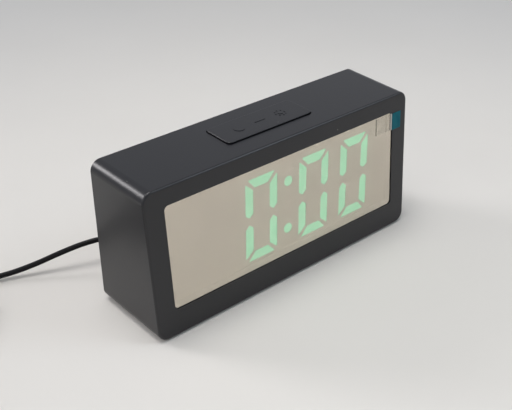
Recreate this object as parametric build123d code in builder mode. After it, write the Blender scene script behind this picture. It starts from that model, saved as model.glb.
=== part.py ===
"""Digital LED desk clock with a half-mirror face, a snooze bar and a captive power lead.

Millimetres. The origin is on the table under the middle of the clock, +X is to the right as the
time is read, +Y is to the rear and +Z is up. The face leans back, so what sits in it is drawn on
planes behind the face, with heights measured up the face from the table.
"""

import math
import os

from build123d import *

os.makedirs("parts", exist_ok=True)

# Housing
front_width = 147.0  # across the sides at the foot of the face
rear_flare = 2.2  # how much wider the rear rim is
base_depth = 41.3  # foot of the face to the rear rim
clock_height = 68.8  # table to the top
face_lean = 4.74  # degrees
corner_radius = 4.8
front_edge_radius = 0.9
rear_edge_chamfer = 0.4
wall = 2.2
front_wall = 3.5
post_bite = 1.0  # how far a post is sunk into the wall that carries it

# Window and mirror lens
bezel_side = 9.1
bezel_bottom = 13.0
bezel_top = 8.2
window_radius = 2.0
ledge = 2.2  # rim behind the lens that its tape sticks to
lens_recess = 0.45  # face to the lens
lens_thickness = 1.55
lens_gap = 0.15
tape_thickness = 0.15

# Protective film and its pull tab
film_thickness = 0.08
film_margin = 0.4
tab_thickness = 0.12
tab_height = 8.2
tab_drop = 4.8  # window's upper edge down to the tab's middle
tab_tape_reach = 10.7  # window's right edge to the far end of the clear tape
tab_ramp_run = 0.6
tab_flap = 5.3  # window's right edge to the end of the flap
tab_lift = 0.05  # free air under the flap

# Digits
digit_gap = 7.5
colon_gap = 12.7  # between the two digits beside the colon
digit_side = 6.75  # reflector's end to the first digit
digit_rim = 1.85  # kept free over and under the digits, shared by both
digit_drop = 0.65  # window's middle down to the digits' middle
digit_slant = 3.1  # degrees
bar_width = 4.3
bar_corner = 0.3
mitre_outside = 1.4  # how far a bar's end stands back from the digit's corner
mitre_inside = 0.95
waist_gap = 3.2  # between the points of an upper and a lower bar
point_length = 1.8
middle_bar_gap = 1.1
colon_spread = 22.8
dot_diameter = 4.7
segment_thickness = 1.2
segment_clearance = 0.05

# Display module
reflector_side = 6.2  # opening to the reflector at each end
reflector_air = 0.5  # opening to the reflector over and under it
reflector_depth = 7.0
reflector_gap = 0.1  # lens to the reflector
board_side = 12.5  # reflector's end to the board's end
board_rim = 1.8  # reflector's edge to the board's edge
board_thickness = 1.6
board_post_inset = 3.0  # board's side edge to a post
board_post_drop = 6.0  # board's upper or lower edge to a post
board_post_radius = 2.5
led_length = 2.0
led_width = 1.2
led_height = 0.7
chip_length = 18.0
chip_width = 7.5
chip_height = 2.3
chip_drop = 10.9  # window's middle down to the chip
lead_pitch = 1.27
lead_rows = 12
lead_width = 0.4
lead_reach = 1.4
crystal_length = 11.0
crystal_width = 4.6
crystal_height = 3.5
crystal_x = 24.0
crystal_rise = 7.1  # window's middle up to the crystal

# Small screws of the boards
board_screw_radius = 1.0
board_screw_length = 5.5
board_head_radius = 1.9
board_head_height = 1.3
screw_gap = 0.1  # shank to its hole
cross_width = 0.6
cross_depth = 0.6

# Snooze bar and its switch
snooze_width = 46.8
snooze_depth = 16.0
snooze_middle = 3.65  # behind the clock's middle
snooze_raise = 0.8
snooze_radius = 1.8
snooze_edge = 0.4
snooze_gap = 0.4
snooze_flange = 1.0  # thickness of the rim that keeps the bar in, and how far it reaches
snooze_travel = 0.6
mark_height = 0.15
snooze_board_width = 63.0
snooze_board_depth = 10.0
snooze_post_x = 28.5
snooze_post_radius = 2.4

# Push switches, shared by the snooze bar and the keys
switch_size = 6.0
switch_height = 3.6
stem_radius = 1.6
stem_gap = 0.2
stem_engage = 1.4  # how far a stem reaches into its switch
press_margin = 0.5  # air left under a stem or a rim that is pressed home
rim_gap = 0.1  # rim to the wall that keeps it in

# Rear cover
cover_inset = 0.8  # rear rim to the cover
cover_thickness = 2.6
cover_gap = 0.2
cover_post_radius = 3.0
cover_post_inset = 2.9  # inside of the wall to a post's middle
cover_screw_radius = 1.3
cover_screw_length = 9.0
cover_head_radius = 2.4
cover_head_height = 1.4
cover_head_gap = 0.3
counterbore_depth = 1.5
pilot_extra = 1.0  # pilot hole past the screw's end

# Battery bay for three small cells side by side, its door and contacts
bay_side = 34.0  # side of the clock to the bay's middle
bay_drop = 1.7  # cover's middle down to the bay's middle
bay_width = 50.0
bay_height = 35.0
bay_depth = 12.0
bay_wall = 1.5
door_ledge = 1.6
door_thickness = 1.6
door_gap = 0.25
door_corner = 1.5
tongue_width = 8.0
tongue_length = 4.0
tongue_thickness = 1.0
tongue_gap = 0.2
groove_width = 0.8
groove_depth = 0.4
groove_length = 12.0
groove_pitch = 2.0
groove_count = 5
cell_pitch = 10.8
contact_width = 8.6
contact_thickness = 0.5
nub_radius = 2.2
nub_height = 1.0
spring_wire = 0.6
spring_base_radius = 3.4
spring_tip_radius = 2.3
spring_length = 4.6
spring_turns = 4.0
spring_spans = 16  # stretches that a spring is drawn in
spring_gap = 0.05  # contact plate to its spring

# Setting keys
key_radius = 2.8
key_gap = 0.2
key_proud = 0.7
key_edge = 0.35
key_travel = 0.5
key_rim = 0.8  # thickness of the rim, and how far it reaches
key_side = 15.5  # side of the clock to the first key
key_pitch = 12.0
key_drop = 18.8  # top of the clock down to the keys
key_board_width = 49.0
key_board_height = 13.5
key_board_drop = 2.25  # keys down to the board's middle
key_post_x = 20.0  # either side of the board's middle
key_post_drop = 6.0  # keys down to the posts
key_post_radius = 2.2

# Buzzer and its sound holes
buzzer_air = 2.0  # key board down to the buzzer
buzzer_radius = 6.0
buzzer_height = 6.5
buzzer_port_radius = 1.0
sound_hole_radius = 0.7
sound_ring_radius = 3.2

# Feet
foot_radius = 4.0
foot_proud = 0.6
foot_recess = 0.4
foot_gap = 0.1
foot_side = 11.5  # side of the clock to a foot's middle
foot_end = 8.65  # front or rear of the base to a foot's middle

# Wiring inside
wire_radius = 0.55
wire_spread = 1.4
wire_bend = 4.0
wire_gap = 0.1
lead_drop = 11.0  # how far the power leads climb to the board
ribbon_width = 6.0
ribbon_thickness = 0.5
ribbon_x = -28.0
ribbon_drop = 3.0
snooze_wire_x = 12.0
snooze_wire_drop = 5.0

# Power lead: its strain relief, its free run to the put-away coil and its plug
cord_diameter = 2.5
exit_side = 22.8  # side of the clock to the lead
exit_z = 13.0
grommet_gap = 0.1
grommet_neck_radius = 2.6
grommet_flange_radius = 3.7
grommet_flange = 1.0
boot_length = 7.0
boot_root_radius = 2.9
boot_tip_radius = 1.9
boot_ring_depth = 0.5
boot_rings = 3
coil_left = 90.76  # lead's exit to the coil's middle
coil_behind = 23.91  # end of the boot to the coil's middle
coil_entry = 72.0  # degrees
coil_turns = 9.3
coil_mean_radius = 15.0
coil_self_gap = 0.5
coil_spans = 38  # stretches that the winding is drawn in, each about a quarter turn
climb_turns = 0.5
entry_run = 12.2  # straight run before the coil
tie_width = 5.0
tie_thickness = 0.5
tie_gap = 0.15
tie_corner = 1.2
overmould_length = 22.0
overmould_width = 15.0
overmould_height = 7.6
overmould_edge = 1.6
plug_boot_length = 8.0
plug_boot_radius = 2.9
shell_length = 12.0
shell_width = 12.0
shell_height = 4.5
shell_wall = 0.35
shell_window = 2.4
shell_window_spread = 5.4
shell_window_place = 6.0
tongue_plug_height = 1.9
tongue_plug_gap = 0.08
tongue_plug_short = 0.8
contact_pitch = 2.3
contact_strip = 1.1
contact_strip_length = 8.0
contact_strip_height = 0.2

# Places that follow from the sizes
half_width_front = front_width / 2
half_depth = base_depth / 2
lean = math.radians(face_lean)
window_width = front_width - 2 * bezel_side
window_height = clock_height / math.cos(lean) - bezel_bottom - bezel_top
window_middle = bezel_bottom + window_height / 2
reflector_width = window_width - 2 * (ledge + reflector_side)
reflector_height = window_height - 2 * (ledge + reflector_air)
board_width = reflector_width + 2 * board_side
board_height = reflector_height + 2 * board_rim
digit_width = (reflector_width - 2 * digit_side - 2 * digit_gap - colon_gap) / 4
digit_height = reflector_height - 2 * digit_rim
digit_middle = window_middle - digit_drop
pocket_depth = lens_recess + lens_thickness + tape_thickness
reflector_front = lens_recess + lens_thickness + reflector_gap
board_front = reflector_front + reflector_depth
board_rear = board_front + board_thickness
top_inside = clock_height - wall
cover_rear_y = half_depth - cover_inset
cover_front_y = cover_rear_y - cover_thickness
cover_post_x = half_width_front - wall - cover_post_inset
cover_post_low = foot_proud + wall + cover_post_inset
cover_post_high = top_inside - cover_post_inset
board_post_x = board_width / 2 - board_post_inset
door_inner_y = cover_rear_y - door_thickness
bay_floor_y = door_inner_y - bay_depth
cover_middle = (clock_height + foot_proud) / 2
bay_x = half_width_front - bay_side
bay_z = cover_middle - bay_drop
key_first_x = key_side - half_width_front
key_z = clock_height - key_drop
key_board_x = key_first_x + 1.5 * key_pitch
key_board_z = key_z - key_board_drop
key_post_z = key_z - key_post_drop
buzzer_x = key_board_x
buzzer_z = key_board_z - key_board_height / 2 - buzzer_air - buzzer_radius
foot_x = half_width_front - foot_side
foot_y = half_depth - foot_end
exit_x = exit_side - half_width_front
face = Plane((0, -half_depth, 0), x_dir=(1, 0, 0), z_dir=(0, -math.cos(lean), math.sin(lean)))


def behind_face(depth):
    """A plane parallel to the face at a depth behind it, seen from the front."""
    return face.offset(-depth)


def upright(y, z=0.0):
    """A plane across the clock at a depth y, seen from the front, with its origin at height z."""
    return Plane((0, y, z), x_dir=(1, 0, 0), z_dir=(0, -1, 0))


def depth_at(height, depth):
    """The y of a point at a height over the table and a depth behind the face."""
    return -half_depth + height * math.tan(lean) + depth / math.cos(lean)


def width_at(y):
    """The housing's width at a depth y."""
    return front_width + rear_flare * (y + half_depth) / base_depth


def corners(x, z, middle=0.0):
    """Four spots in a rectangle about a middle height."""
    return [(-x, middle - z), (x, middle - z), (-x, middle + z), (x, middle + z)]


def housing_section(y, inset):
    """The housing's outline at a depth y, drawn in by an inset on every side."""
    with BuildSketch(upright(y, (foot_proud + clock_height) / 2)) as outline:
        RectangleRounded(
            width_at(y) - 2 * inset, clock_height - foot_proud - 2 * inset, corner_radius - inset
        )
    return outline.sketch


def rounds(plane, spots, radius, height, mode=Mode.ADD):
    """Adds or cuts round posts that stand on a plane in the piece being built."""
    with BuildSketch(plane) as ends:
        with Locations(*spots):
            Circle(radius)
    extrude(ends.sketch, amount=height, mode=mode)


def plates(plane, spots, width, height, thickness, corner=0.0, mode=Mode.ADD):
    """Adds or cuts rectangular plates that stand on a plane in the piece being built."""
    with BuildSketch(plane) as ends:
        with Locations(*spots):
            if corner:
                RectangleRounded(width, height, corner)
            else:
                Rectangle(width, height)
    extrude(ends.sketch, amount=thickness, mode=mode)


def screws(plane, spots, side, head_radius, head_height, shank_radius, shank_length):
    """Cross-head screws whose heads stand on one side of a plane (+1 along its normal, or -1)."""
    rounds(plane, spots, head_radius, side * head_height)
    rounds(plane, spots, shank_radius, -side * shank_length)
    top = plane.offset(side * head_height)
    plates(top, spots, head_radius, cross_width, -side * cross_depth, mode=Mode.SUBTRACT)
    plates(top, spots, cross_width, head_radius, -side * cross_depth, mode=Mode.SUBTRACT)


def biarc(start, start_way, end, end_way):
    """Two arcs that leave a start point along one direction and reach an end along another."""
    chord = end - start
    ways = start_way + end_way
    square = 2 * (start_way.dot(end_way) - 1)
    linear = -2 * chord.dot(ways)
    reach = (-linear - math.sqrt(linear**2 - 4 * square * chord.dot(chord))) / (2 * square)
    first = start + start_way * reach
    second = end - end_way * reach
    joint = (first + second) / 2
    TangentArc(start, joint, tangent=start_way)
    TangentArc(joint, end, tangent=second - first)


def wind(point_at, turns, spans, start_way=None, end_way=None):
    """Winds biarcs along a curve given by its point at each turn; returns both end points and ways."""
    step = turns / spans
    nudge = 0.001
    spots = [point_at(step * i) for i in range(spans + 1)]
    ways = [
        (point_at(step * i + nudge) - point_at(step * i - nudge)).normalized()
        for i in range(spans + 1)
    ]
    ways[0] = start_way or ways[0]
    ways[-1] = end_way or ways[-1]
    for i in range(spans):
        biarc(spots[i], ways[i], spots[i + 1], ways[i + 1])
    return spots[0], ways[0], spots[-1], ways[-1]


# Housing: one shell with the bezel in front and open at the rear
with BuildPart() as cavity:
    loft(
        sections=[housing_section(-half_depth, wall), housing_section(half_depth + wall, wall)],
        ruled=True,
    )
    split(bisect_by=behind_face(front_wall), keep=Keep.BOTTOM)

cover_spots_low = [(-cover_post_x, 0), (cover_post_x, 0)]
board_spots = corners(board_post_x, board_height / 2 - board_post_drop, window_middle)
snooze_board_top = (
    top_inside - rim_gap - snooze_flange - snooze_travel - press_margin - switch_height
)
snooze_spots = [(-snooze_post_x, snooze_middle), (snooze_post_x, snooze_middle)]
foot_spots = corners(foot_x, foot_y)

with BuildPart() as front_housing:
    loft(
        sections=[
            housing_section(-half_depth, 0),
            housing_section(half_depth - rear_edge_chamfer, 0),
            housing_section(half_depth, rear_edge_chamfer),
        ],
        ruled=True,
    )
    split(bisect_by=face, keep=Keep.BOTTOM)
    fillet(front_housing.faces().sort_by(Axis.Y)[0].edges(), front_edge_radius)
    add(cavity.part, mode=Mode.SUBTRACT)
    plates(
        face,
        [(0, window_middle)],
        window_width,
        window_height,
        -pocket_depth,
        window_radius,
        Mode.SUBTRACT,
    )
    plates(
        face,
        [(0, window_middle)],
        window_width - 2 * ledge,
        window_height - 2 * ledge,
        -2 * front_wall,
        window_radius,
        Mode.SUBTRACT,
    )
    plates(
        Plane.XY.offset(clock_height),
        [(0, snooze_middle)],
        snooze_width + 2 * snooze_gap,
        snooze_depth + 2 * snooze_gap,
        -2 * wall,
        snooze_radius + snooze_gap,
        Mode.SUBTRACT,
    )
    for height in (cover_post_low, cover_post_high):
        seat = upright(cover_front_y, height)
        length = cover_front_y - depth_at(height, front_wall) + post_bite
        rounds(seat, cover_spots_low, cover_post_radius, length)
        pilot = cover_screw_length - (cover_thickness - counterbore_depth) + pilot_extra
        rounds(seat, cover_spots_low, cover_screw_radius + screw_gap, pilot, Mode.SUBTRACT)
    board_seat = behind_face(board_front)
    rounds(board_seat, board_spots, board_post_radius, board_front - front_wall + post_bite)
    rounds(
        board_seat,
        board_spots,
        board_screw_radius + screw_gap,
        board_screw_length - board_thickness + pilot_extra,
        Mode.SUBTRACT,
    )
    snooze_seat = Plane.XY.offset(snooze_board_top)
    rounds(snooze_seat, snooze_spots, snooze_post_radius, top_inside - snooze_board_top + post_bite)
    rounds(
        snooze_seat,
        snooze_spots,
        board_screw_radius + screw_gap,
        board_screw_length - board_thickness + pilot_extra,
        Mode.SUBTRACT,
    )
    rounds(
        Plane.XY.offset(foot_proud), foot_spots, foot_radius + foot_gap, foot_recess, Mode.SUBTRACT
    )

with BuildPart() as rubber_feet:
    rounds(Plane.XY, foot_spots, foot_radius, foot_proud + foot_recess)
    fillet(rubber_feet.edges().group_by(Axis.Z)[0], foot_proud / 2)

# Window: tape, mirror lens, protective film and its pull tab
lens_width = window_width - 2 * lens_gap
lens_height = window_height - 2 * lens_gap
lens_corner = window_radius - lens_gap

with BuildPart() as lens_tape:
    tape_plane = behind_face(pocket_depth)
    plates(tape_plane, [(0, window_middle)], lens_width, lens_height, tape_thickness, lens_corner)
    plates(
        tape_plane,
        [(0, window_middle)],
        window_width - 2 * ledge,
        window_height - 2 * ledge,
        tape_thickness,
        window_radius,
        Mode.SUBTRACT,
    )

with BuildPart() as mirror_lens:
    plates(
        behind_face(lens_recess + lens_thickness),
        [(0, window_middle)],
        lens_width,
        lens_height,
        lens_thickness,
        lens_corner,
    )

with BuildPart() as protective_film:
    plates(
        behind_face(lens_recess),
        [(0, window_middle)],
        lens_width - 2 * film_margin,
        lens_height - 2 * film_margin,
        film_thickness,
        lens_corner - film_margin,
    )

# The tab is drawn from above: x across the face, y into the clock
tab_middle = window_middle + window_height / 2 - tab_drop
tab_low = face.from_local_coords(Vector(0, tab_middle - tab_height / 2, 0))
tab_plane = Plane(tab_low, x_dir=(1, 0, 0), z_dir=(0, math.sin(lean), math.cos(lean)))
tab_flat = lens_recess - film_thickness
tab_crest = window_width / 2 - tab_thickness
tab_foot = tab_crest - tab_ramp_run
tab_tape_start = window_width / 2 - tab_tape_reach
tab_end = window_width / 2 + tab_flap

with BuildPart() as tab_tape:
    with BuildSketch(tab_plane):
        with Locations((tab_tape_start, tab_flat - tab_thickness)):
            Rectangle(tab_foot - tab_tape_start, tab_thickness, align=Align.MIN)
    extrude(amount=tab_height)

with BuildPart() as film_pull_tab:
    with BuildSketch(tab_plane):
        Polygon(
            (tab_foot, tab_flat),
            (tab_crest, -tab_lift),
            (tab_end, -tab_lift),
            (tab_end, -tab_lift - tab_thickness),
            (tab_crest - tab_thickness, -tab_lift - tab_thickness),
            (tab_foot, tab_flat - tab_thickness),
            align=None,
        )
    extrude(amount=tab_height)

# Digits: each is seven mitred bars, sheared by the slant
half_width = digit_width / 2
half_height = digit_height / 2
waist = waist_gap / 2
middle_reach = half_width - bar_width / 2 - middle_bar_gap
across_bar = [
    (-half_width + mitre_outside, half_height),
    (half_width - mitre_outside, half_height),
    (half_width - bar_width - mitre_inside, half_height - bar_width),
    (-half_width + bar_width + mitre_inside, half_height - bar_width),
]
upright_bar = [
    (-half_width, half_height - mitre_outside),
    (-half_width + bar_width, half_height - bar_width - mitre_inside),
    (-half_width + bar_width, waist + point_length),
    (-half_width + bar_width / 2, waist),
    (-half_width, waist + point_length),
]
middle_bar = [
    (-middle_reach, 0),
    (-middle_reach + point_length, bar_width / 2),
    (middle_reach - point_length, bar_width / 2),
    (middle_reach, 0),
    (middle_reach - point_length, -bar_width / 2),
    (-middle_reach + point_length, -bar_width / 2),
]


def flipped(outline, across=1, up=1):
    """An outline mirrored across the digit's middle lines."""
    return [(across * u, up * v) for u, v in outline]


outer_bars = [across_bar, flipped(across_bar, up=-1)]
outer_bars += [flipped(upright_bar, across, up) for across in (1, -1) for up in (1, -1)]
digit_places = [
    -colon_gap / 2 - digit_gap - 1.5 * digit_width,
    -colon_gap / 2 - digit_width / 2,
    colon_gap / 2 + digit_width / 2,
    colon_gap / 2 + digit_gap + 1.5 * digit_width,
]
slope = math.tan(math.radians(digit_slant))
dot_spots = [
    (side * slope * colon_spread / 2, digit_middle + side * colon_spread / 2) for side in (1, -1)
]


def on_face(outline, place):
    """A bar's outline, slanted and moved to its digit."""
    return [(place + u + slope * v, digit_middle + v) for u, v in outline]


lit_outlines = [on_face(bar, place) for place in digit_places[1:] for bar in outer_bars]
unlit_outlines = [on_face(bar, digit_places[0]) for bar in outer_bars]
unlit_outlines += [on_face(middle_bar, place) for place in digit_places]

with BuildPart() as lit_segments:
    with BuildSketch(behind_face(reflector_front)) as lit_shapes:
        for outline in lit_outlines:
            Polygon(*outline, align=None)
        fillet(lit_shapes.vertices(), bar_corner)
        with Locations(*dot_spots):
            Circle(dot_diameter / 2)
    extrude(amount=-segment_thickness)

with BuildPart() as unlit_segments:
    with BuildSketch(behind_face(reflector_front)) as unlit_shapes:
        for outline in unlit_outlines:
            Polygon(*outline, align=None)
        fillet(unlit_shapes.vertices(), bar_corner)
    extrude(amount=-segment_thickness)

with BuildPart() as digit_reflector:
    plates(
        behind_face(board_front),
        [(0, window_middle)],
        reflector_width,
        reflector_height,
        reflector_depth,
    )
    with BuildSketch(behind_face(reflector_front)) as light_wells:
        for outline in lit_outlines + unlit_outlines:
            Polygon(*outline, align=None)
        offset(amount=segment_clearance)
        with Locations(*dot_spots):
            Circle(dot_diameter / 2 + segment_clearance)
    extrude(amount=-reflector_depth, mode=Mode.SUBTRACT)

# Display board and what is soldered to it
led_spots = list(dot_spots)
for outline in lit_outlines + unlit_outlines:
    led_spots.append(
        (
            sum(u for u, _ in outline) / len(outline),
            sum(v for _, v in outline) / len(outline),
        )
    )

with BuildPart() as display_board:
    plates(
        behind_face(board_rear), [(0, window_middle)], board_width, board_height, board_thickness, 1.0
    )
    rounds(
        behind_face(board_rear),
        board_spots,
        board_screw_radius + screw_gap,
        board_thickness,
        Mode.SUBTRACT,
    )

with BuildPart() as led_chips:
    plates(behind_face(board_front), led_spots, led_width, led_length, led_height)

with BuildPart() as driver_chip:
    chip_plane = behind_face(board_rear)
    chip_middle = window_middle - chip_drop
    plates(chip_plane, [(0, chip_middle)], chip_length, chip_width, -chip_height)
    chamfer(driver_chip.faces().sort_by(Axis.Y)[-1].edges(), lead_width)
    for side in (-1, 1):
        row = chip_middle + side * (chip_width + lead_reach) / 2
        lead_spots = [(lead_pitch * (i - (lead_rows - 1) / 2), row) for i in range(lead_rows)]
        plates(chip_plane, lead_spots, lead_width, lead_reach, -lead_width)

with BuildPart() as crystal:
    with BuildSketch(behind_face(board_rear)):
        with Locations((crystal_x, window_middle + crystal_rise)):
            SlotOverall(crystal_length, crystal_width)
    extrude(amount=-crystal_height)
    fillet(crystal.faces().sort_by(Axis.Y)[-1].edges(), cross_width)

# Snooze bar: a cap in the top, kept in by its rim, with a stem that works a push switch
snooze_top = clock_height + snooze_raise
snooze_rim_top = top_inside - rim_gap
snooze_rim_bottom = snooze_rim_top - snooze_flange
snooze_switch_top = snooze_board_top + switch_height
snooze_stem_bottom = snooze_switch_top - stem_engage
snooze_board_bottom = snooze_board_top - board_thickness
mark_pitch = snooze_width / 4
moon_radius = snooze_depth / 6
ray_spots = 8

with BuildPart() as snooze_button:
    plates(
        Plane.XY.offset(snooze_rim_top),
        [(0, snooze_middle)],
        snooze_width,
        snooze_depth,
        snooze_top - snooze_rim_top,
        snooze_radius,
    )
    fillet(snooze_button.faces().sort_by(Axis.Z)[-1].edges(), snooze_edge)
    plates(
        Plane.XY.offset(snooze_rim_bottom),
        [(0, snooze_middle)],
        snooze_width + 2 * (snooze_gap + snooze_flange),
        snooze_depth + 2 * (snooze_gap + snooze_flange),
        snooze_flange,
        snooze_radius,
    )
    rounds(
        Plane.XY.offset(snooze_stem_bottom),
        [(0, snooze_middle)],
        stem_radius,
        snooze_rim_bottom - snooze_stem_bottom,
    )
    with BuildSketch(Plane.XY.offset(snooze_top)):
        with Locations((-mark_pitch, snooze_middle)):
            Circle(moon_radius)
        with Locations((-mark_pitch + moon_radius / 2, snooze_middle + moon_radius / 3)):
            Circle(moon_radius * 0.8, mode=Mode.SUBTRACT)
        with Locations((0, snooze_middle)):
            SlotOverall(mark_pitch / 2, moon_radius / 3)
        with Locations((mark_pitch, snooze_middle)):
            Circle(moon_radius / 2)
            with PolarLocations(moon_radius * 0.9, ray_spots):
                Circle(moon_radius / 7)
    extrude(amount=mark_height)

with BuildPart() as snooze_board:
    plates(
        Plane.XY.offset(snooze_board_bottom),
        [(0, snooze_middle)],
        snooze_board_width,
        snooze_board_depth,
        board_thickness,
    )
    rounds(
        Plane.XY.offset(snooze_board_bottom),
        snooze_spots,
        board_screw_radius + screw_gap,
        board_thickness,
        Mode.SUBTRACT,
    )

stem_well = stem_engage + max(snooze_travel, key_travel) + press_margin

with BuildPart() as snooze_switch:
    plates(
        Plane.XY.offset(snooze_board_top),
        [(0, snooze_middle)],
        switch_size,
        switch_size,
        switch_height,
    )
    rounds(
        Plane.XY.offset(snooze_switch_top),
        [(0, snooze_middle)],
        stem_radius + stem_gap,
        -stem_well,
        Mode.SUBTRACT,
    )

# Rear cover: a panel in the rear rim, with the battery bay, key holes and the lead's hole
cover_plane = upright(cover_rear_y)
cover_width = width_at(cover_front_y) - 2 * (wall + cover_gap)
cover_height = clock_height - foot_proud - 2 * (wall + cover_gap)
cover_spots = cover_spots_low + [(-cover_post_x, cover_post_high - cover_post_low)]
cover_spots += [(cover_post_x, cover_post_high - cover_post_low)]
cover_screw_plane = upright(cover_rear_y - counterbore_depth, cover_post_low)
key_spots = [(key_first_x + key_pitch * i, key_z) for i in range(4)]
key_post_spots = [(key_board_x - key_post_x, key_post_z), (key_board_x + key_post_x, key_post_z)]
key_rim_rear_y = cover_front_y - rim_gap
key_rim_front_y = key_rim_rear_y - key_rim
key_switch_y = key_rim_front_y - key_travel - press_margin
key_stem_y = key_switch_y - stem_engage
key_board_rear_y = key_switch_y - switch_height
key_board_front_y = key_board_rear_y - board_thickness
door_width = bay_width + 2 * (door_ledge - door_gap)
door_height = bay_height + 2 * (door_ledge - door_gap)
bay_spot = [(bay_x, bay_z)]

with BuildPart() as rear_cover:
    plates(
        cover_plane,
        [(0, cover_middle)],
        cover_width,
        cover_height,
        cover_thickness,
        corner_radius - wall - cover_gap,
    )
    plates(
        cover_plane,
        bay_spot,
        bay_width + 2 * bay_wall,
        bay_height + 2 * bay_wall,
        door_thickness + bay_depth + bay_wall,
    )
    plates(
        cover_plane,
        bay_spot,
        bay_width,
        bay_height,
        door_thickness + bay_depth,
        mode=Mode.SUBTRACT,
    )
    plates(
        cover_plane,
        bay_spot,
        door_width + 2 * door_gap,
        door_height + 2 * door_gap,
        door_thickness,
        door_corner + door_gap,
        Mode.SUBTRACT,
    )
    rounds(cover_plane, key_spots, key_radius + key_gap, cover_thickness, Mode.SUBTRACT)
    rounds(
        cover_plane,
        [(exit_x, exit_z)],
        grommet_neck_radius + grommet_gap,
        cover_thickness,
        Mode.SUBTRACT,
    )
    with BuildSketch(cover_plane):
        with Locations((buzzer_x, buzzer_z)):
            Circle(sound_hole_radius)
            with PolarLocations(sound_ring_radius, 6):
                Circle(sound_hole_radius)
    extrude(amount=cover_thickness, mode=Mode.SUBTRACT)
    rounds(
        cover_screw_plane,
        cover_spots,
        cover_head_radius + cover_head_gap,
        -counterbore_depth,
        Mode.SUBTRACT,
    )
    rounds(
        cover_screw_plane,
        cover_spots,
        cover_screw_radius + screw_gap,
        cover_thickness,
        Mode.SUBTRACT,
    )
    rounds(
        upright(key_board_rear_y),
        key_post_spots,
        key_post_radius,
        key_board_rear_y - cover_front_y - post_bite,
    )
    rounds(
        upright(key_board_rear_y),
        key_post_spots,
        board_screw_radius + screw_gap,
        board_thickness - board_screw_length - pilot_extra,
        Mode.SUBTRACT,
    )

with BuildPart() as cover_screws:
    screws(
        cover_screw_plane,
        cover_spots,
        -1,
        cover_head_radius,
        cover_head_height,
        cover_screw_radius,
        cover_screw_length,
    )

with BuildPart() as battery_door:
    plates(
        cover_plane, bay_spot, door_width, door_height, door_thickness - door_gap / 5, door_corner
    )
    tongue_rise = bay_height / 2 - tongue_gap - tongue_thickness / 2
    plates(
        upright(door_inner_y + post_bite),
        [(bay_x, bay_z - tongue_rise), (bay_x, bay_z + tongue_rise)],
        tongue_width,
        tongue_thickness,
        tongue_length + post_bite,
    )
    groove_x = bay_x + bay_width / 2 - groove_pitch * groove_count
    plates(
        cover_plane,
        [(groove_x + groove_pitch * i, bay_z) for i in range(groove_count)],
        groove_width,
        groove_length,
        groove_depth,
        mode=Mode.SUBTRACT,
    )

# Battery contacts: a plate at each end of each cell, with a spring at its negative end
cell_heights = [bay_z + cell_pitch * i for i in (-1, 0, 1)]
contact_y = door_inner_y - bay_depth / 2
bay_left = bay_x - bay_width / 2
bay_right = bay_x + bay_width / 2

with BuildPart() as battery_plates:
    for wall_x, way in ((bay_left, 1), (bay_right, -1)):
        plate_plane = Plane((wall_x, contact_y, bay_z), x_dir=(0, 1, 0), z_dir=(way, 0, 0))
        spots = [(0, cell_pitch * i) for i in (-1, 0, 1)]
        plates(plate_plane, spots, contact_width, contact_width, contact_thickness)
    for i, height in enumerate(cell_heights):
        way = 1 if i % 2 else -1
        wall_x = bay_left if way > 0 else bay_right
        nub = Plane(
            (wall_x + way * contact_thickness, contact_y, height), x_dir=(0, 1, 0), z_dir=(way, 0, 0)
        )
        rounds(nub, [(0, 0)], nub_radius, nub_height)


def spring_point(origin, way):
    """The point of a conical spring's wire at each turn, along X from an origin."""

    def point_at(turns):
        share = turns / spring_turns
        radius = spring_base_radius + (spring_tip_radius - spring_base_radius) * share
        angle = 2 * math.pi * turns
        along = way * (spring_wire / 2 + spring_gap + (spring_length - spring_wire) * share)
        return origin + Vector(along, radius * math.cos(angle), radius * math.sin(angle))

    return point_at


with BuildPart() as battery_springs:
    for i, height in enumerate(cell_heights):
        way = -1 if i % 2 else 1
        wall_x = bay_left if way > 0 else bay_right
        seat = Vector(wall_x + way * contact_thickness, contact_y, height)
        with BuildLine() as spring_wire_path:
            start, start_way, _, _ = wind(spring_point(seat, way), spring_turns, spring_spans)
        with BuildSketch(Plane(start, z_dir=start_way)) as spring_section:
            Circle(spring_wire / 2)
        sweep(spring_section.sketch, path=spring_wire_path.wire())

# Setting keys and their board
with BuildPart() as key_board:
    plates(
        upright(key_board_rear_y),
        [(key_board_x, key_board_z)],
        key_board_width,
        key_board_height,
        board_thickness,
    )
    rounds(
        upright(key_board_rear_y),
        key_post_spots,
        board_screw_radius + screw_gap,
        board_thickness,
        Mode.SUBTRACT,
    )

with BuildPart() as key_switches:
    plates(upright(key_switch_y), key_spots, switch_size, switch_size, switch_height)
    rounds(upright(key_switch_y), key_spots, stem_radius + stem_gap, stem_well, Mode.SUBTRACT)

setting_keys = {}
for key_name, key_spot in zip(("mode_key", "alarm_key", "up_key", "down_key"), key_spots, strict=True):
    with BuildPart() as setting_key:
        rounds(
            upright(cover_rear_y + key_proud),
            [key_spot],
            key_radius,
            cover_rear_y + key_proud - key_rim_rear_y,
        )
        fillet(setting_key.faces().sort_by(Axis.Y)[-1].edges(), key_edge)
        rounds(upright(key_rim_rear_y), [key_spot], key_radius + key_gap + key_rim, key_rim)
        rounds(upright(key_rim_front_y), [key_spot], stem_radius, key_rim_front_y - key_stem_y)
    setting_keys[key_name] = setting_key

with BuildPart() as board_screws:
    board_screw = (board_head_radius, board_head_height, board_screw_radius, board_screw_length)
    screws(behind_face(board_rear), board_spots, -1, *board_screw)
    screws(upright(key_board_front_y), key_post_spots, 1, *board_screw)
    screws(Plane.XY.offset(snooze_board_bottom), snooze_spots, -1, *board_screw)

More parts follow.
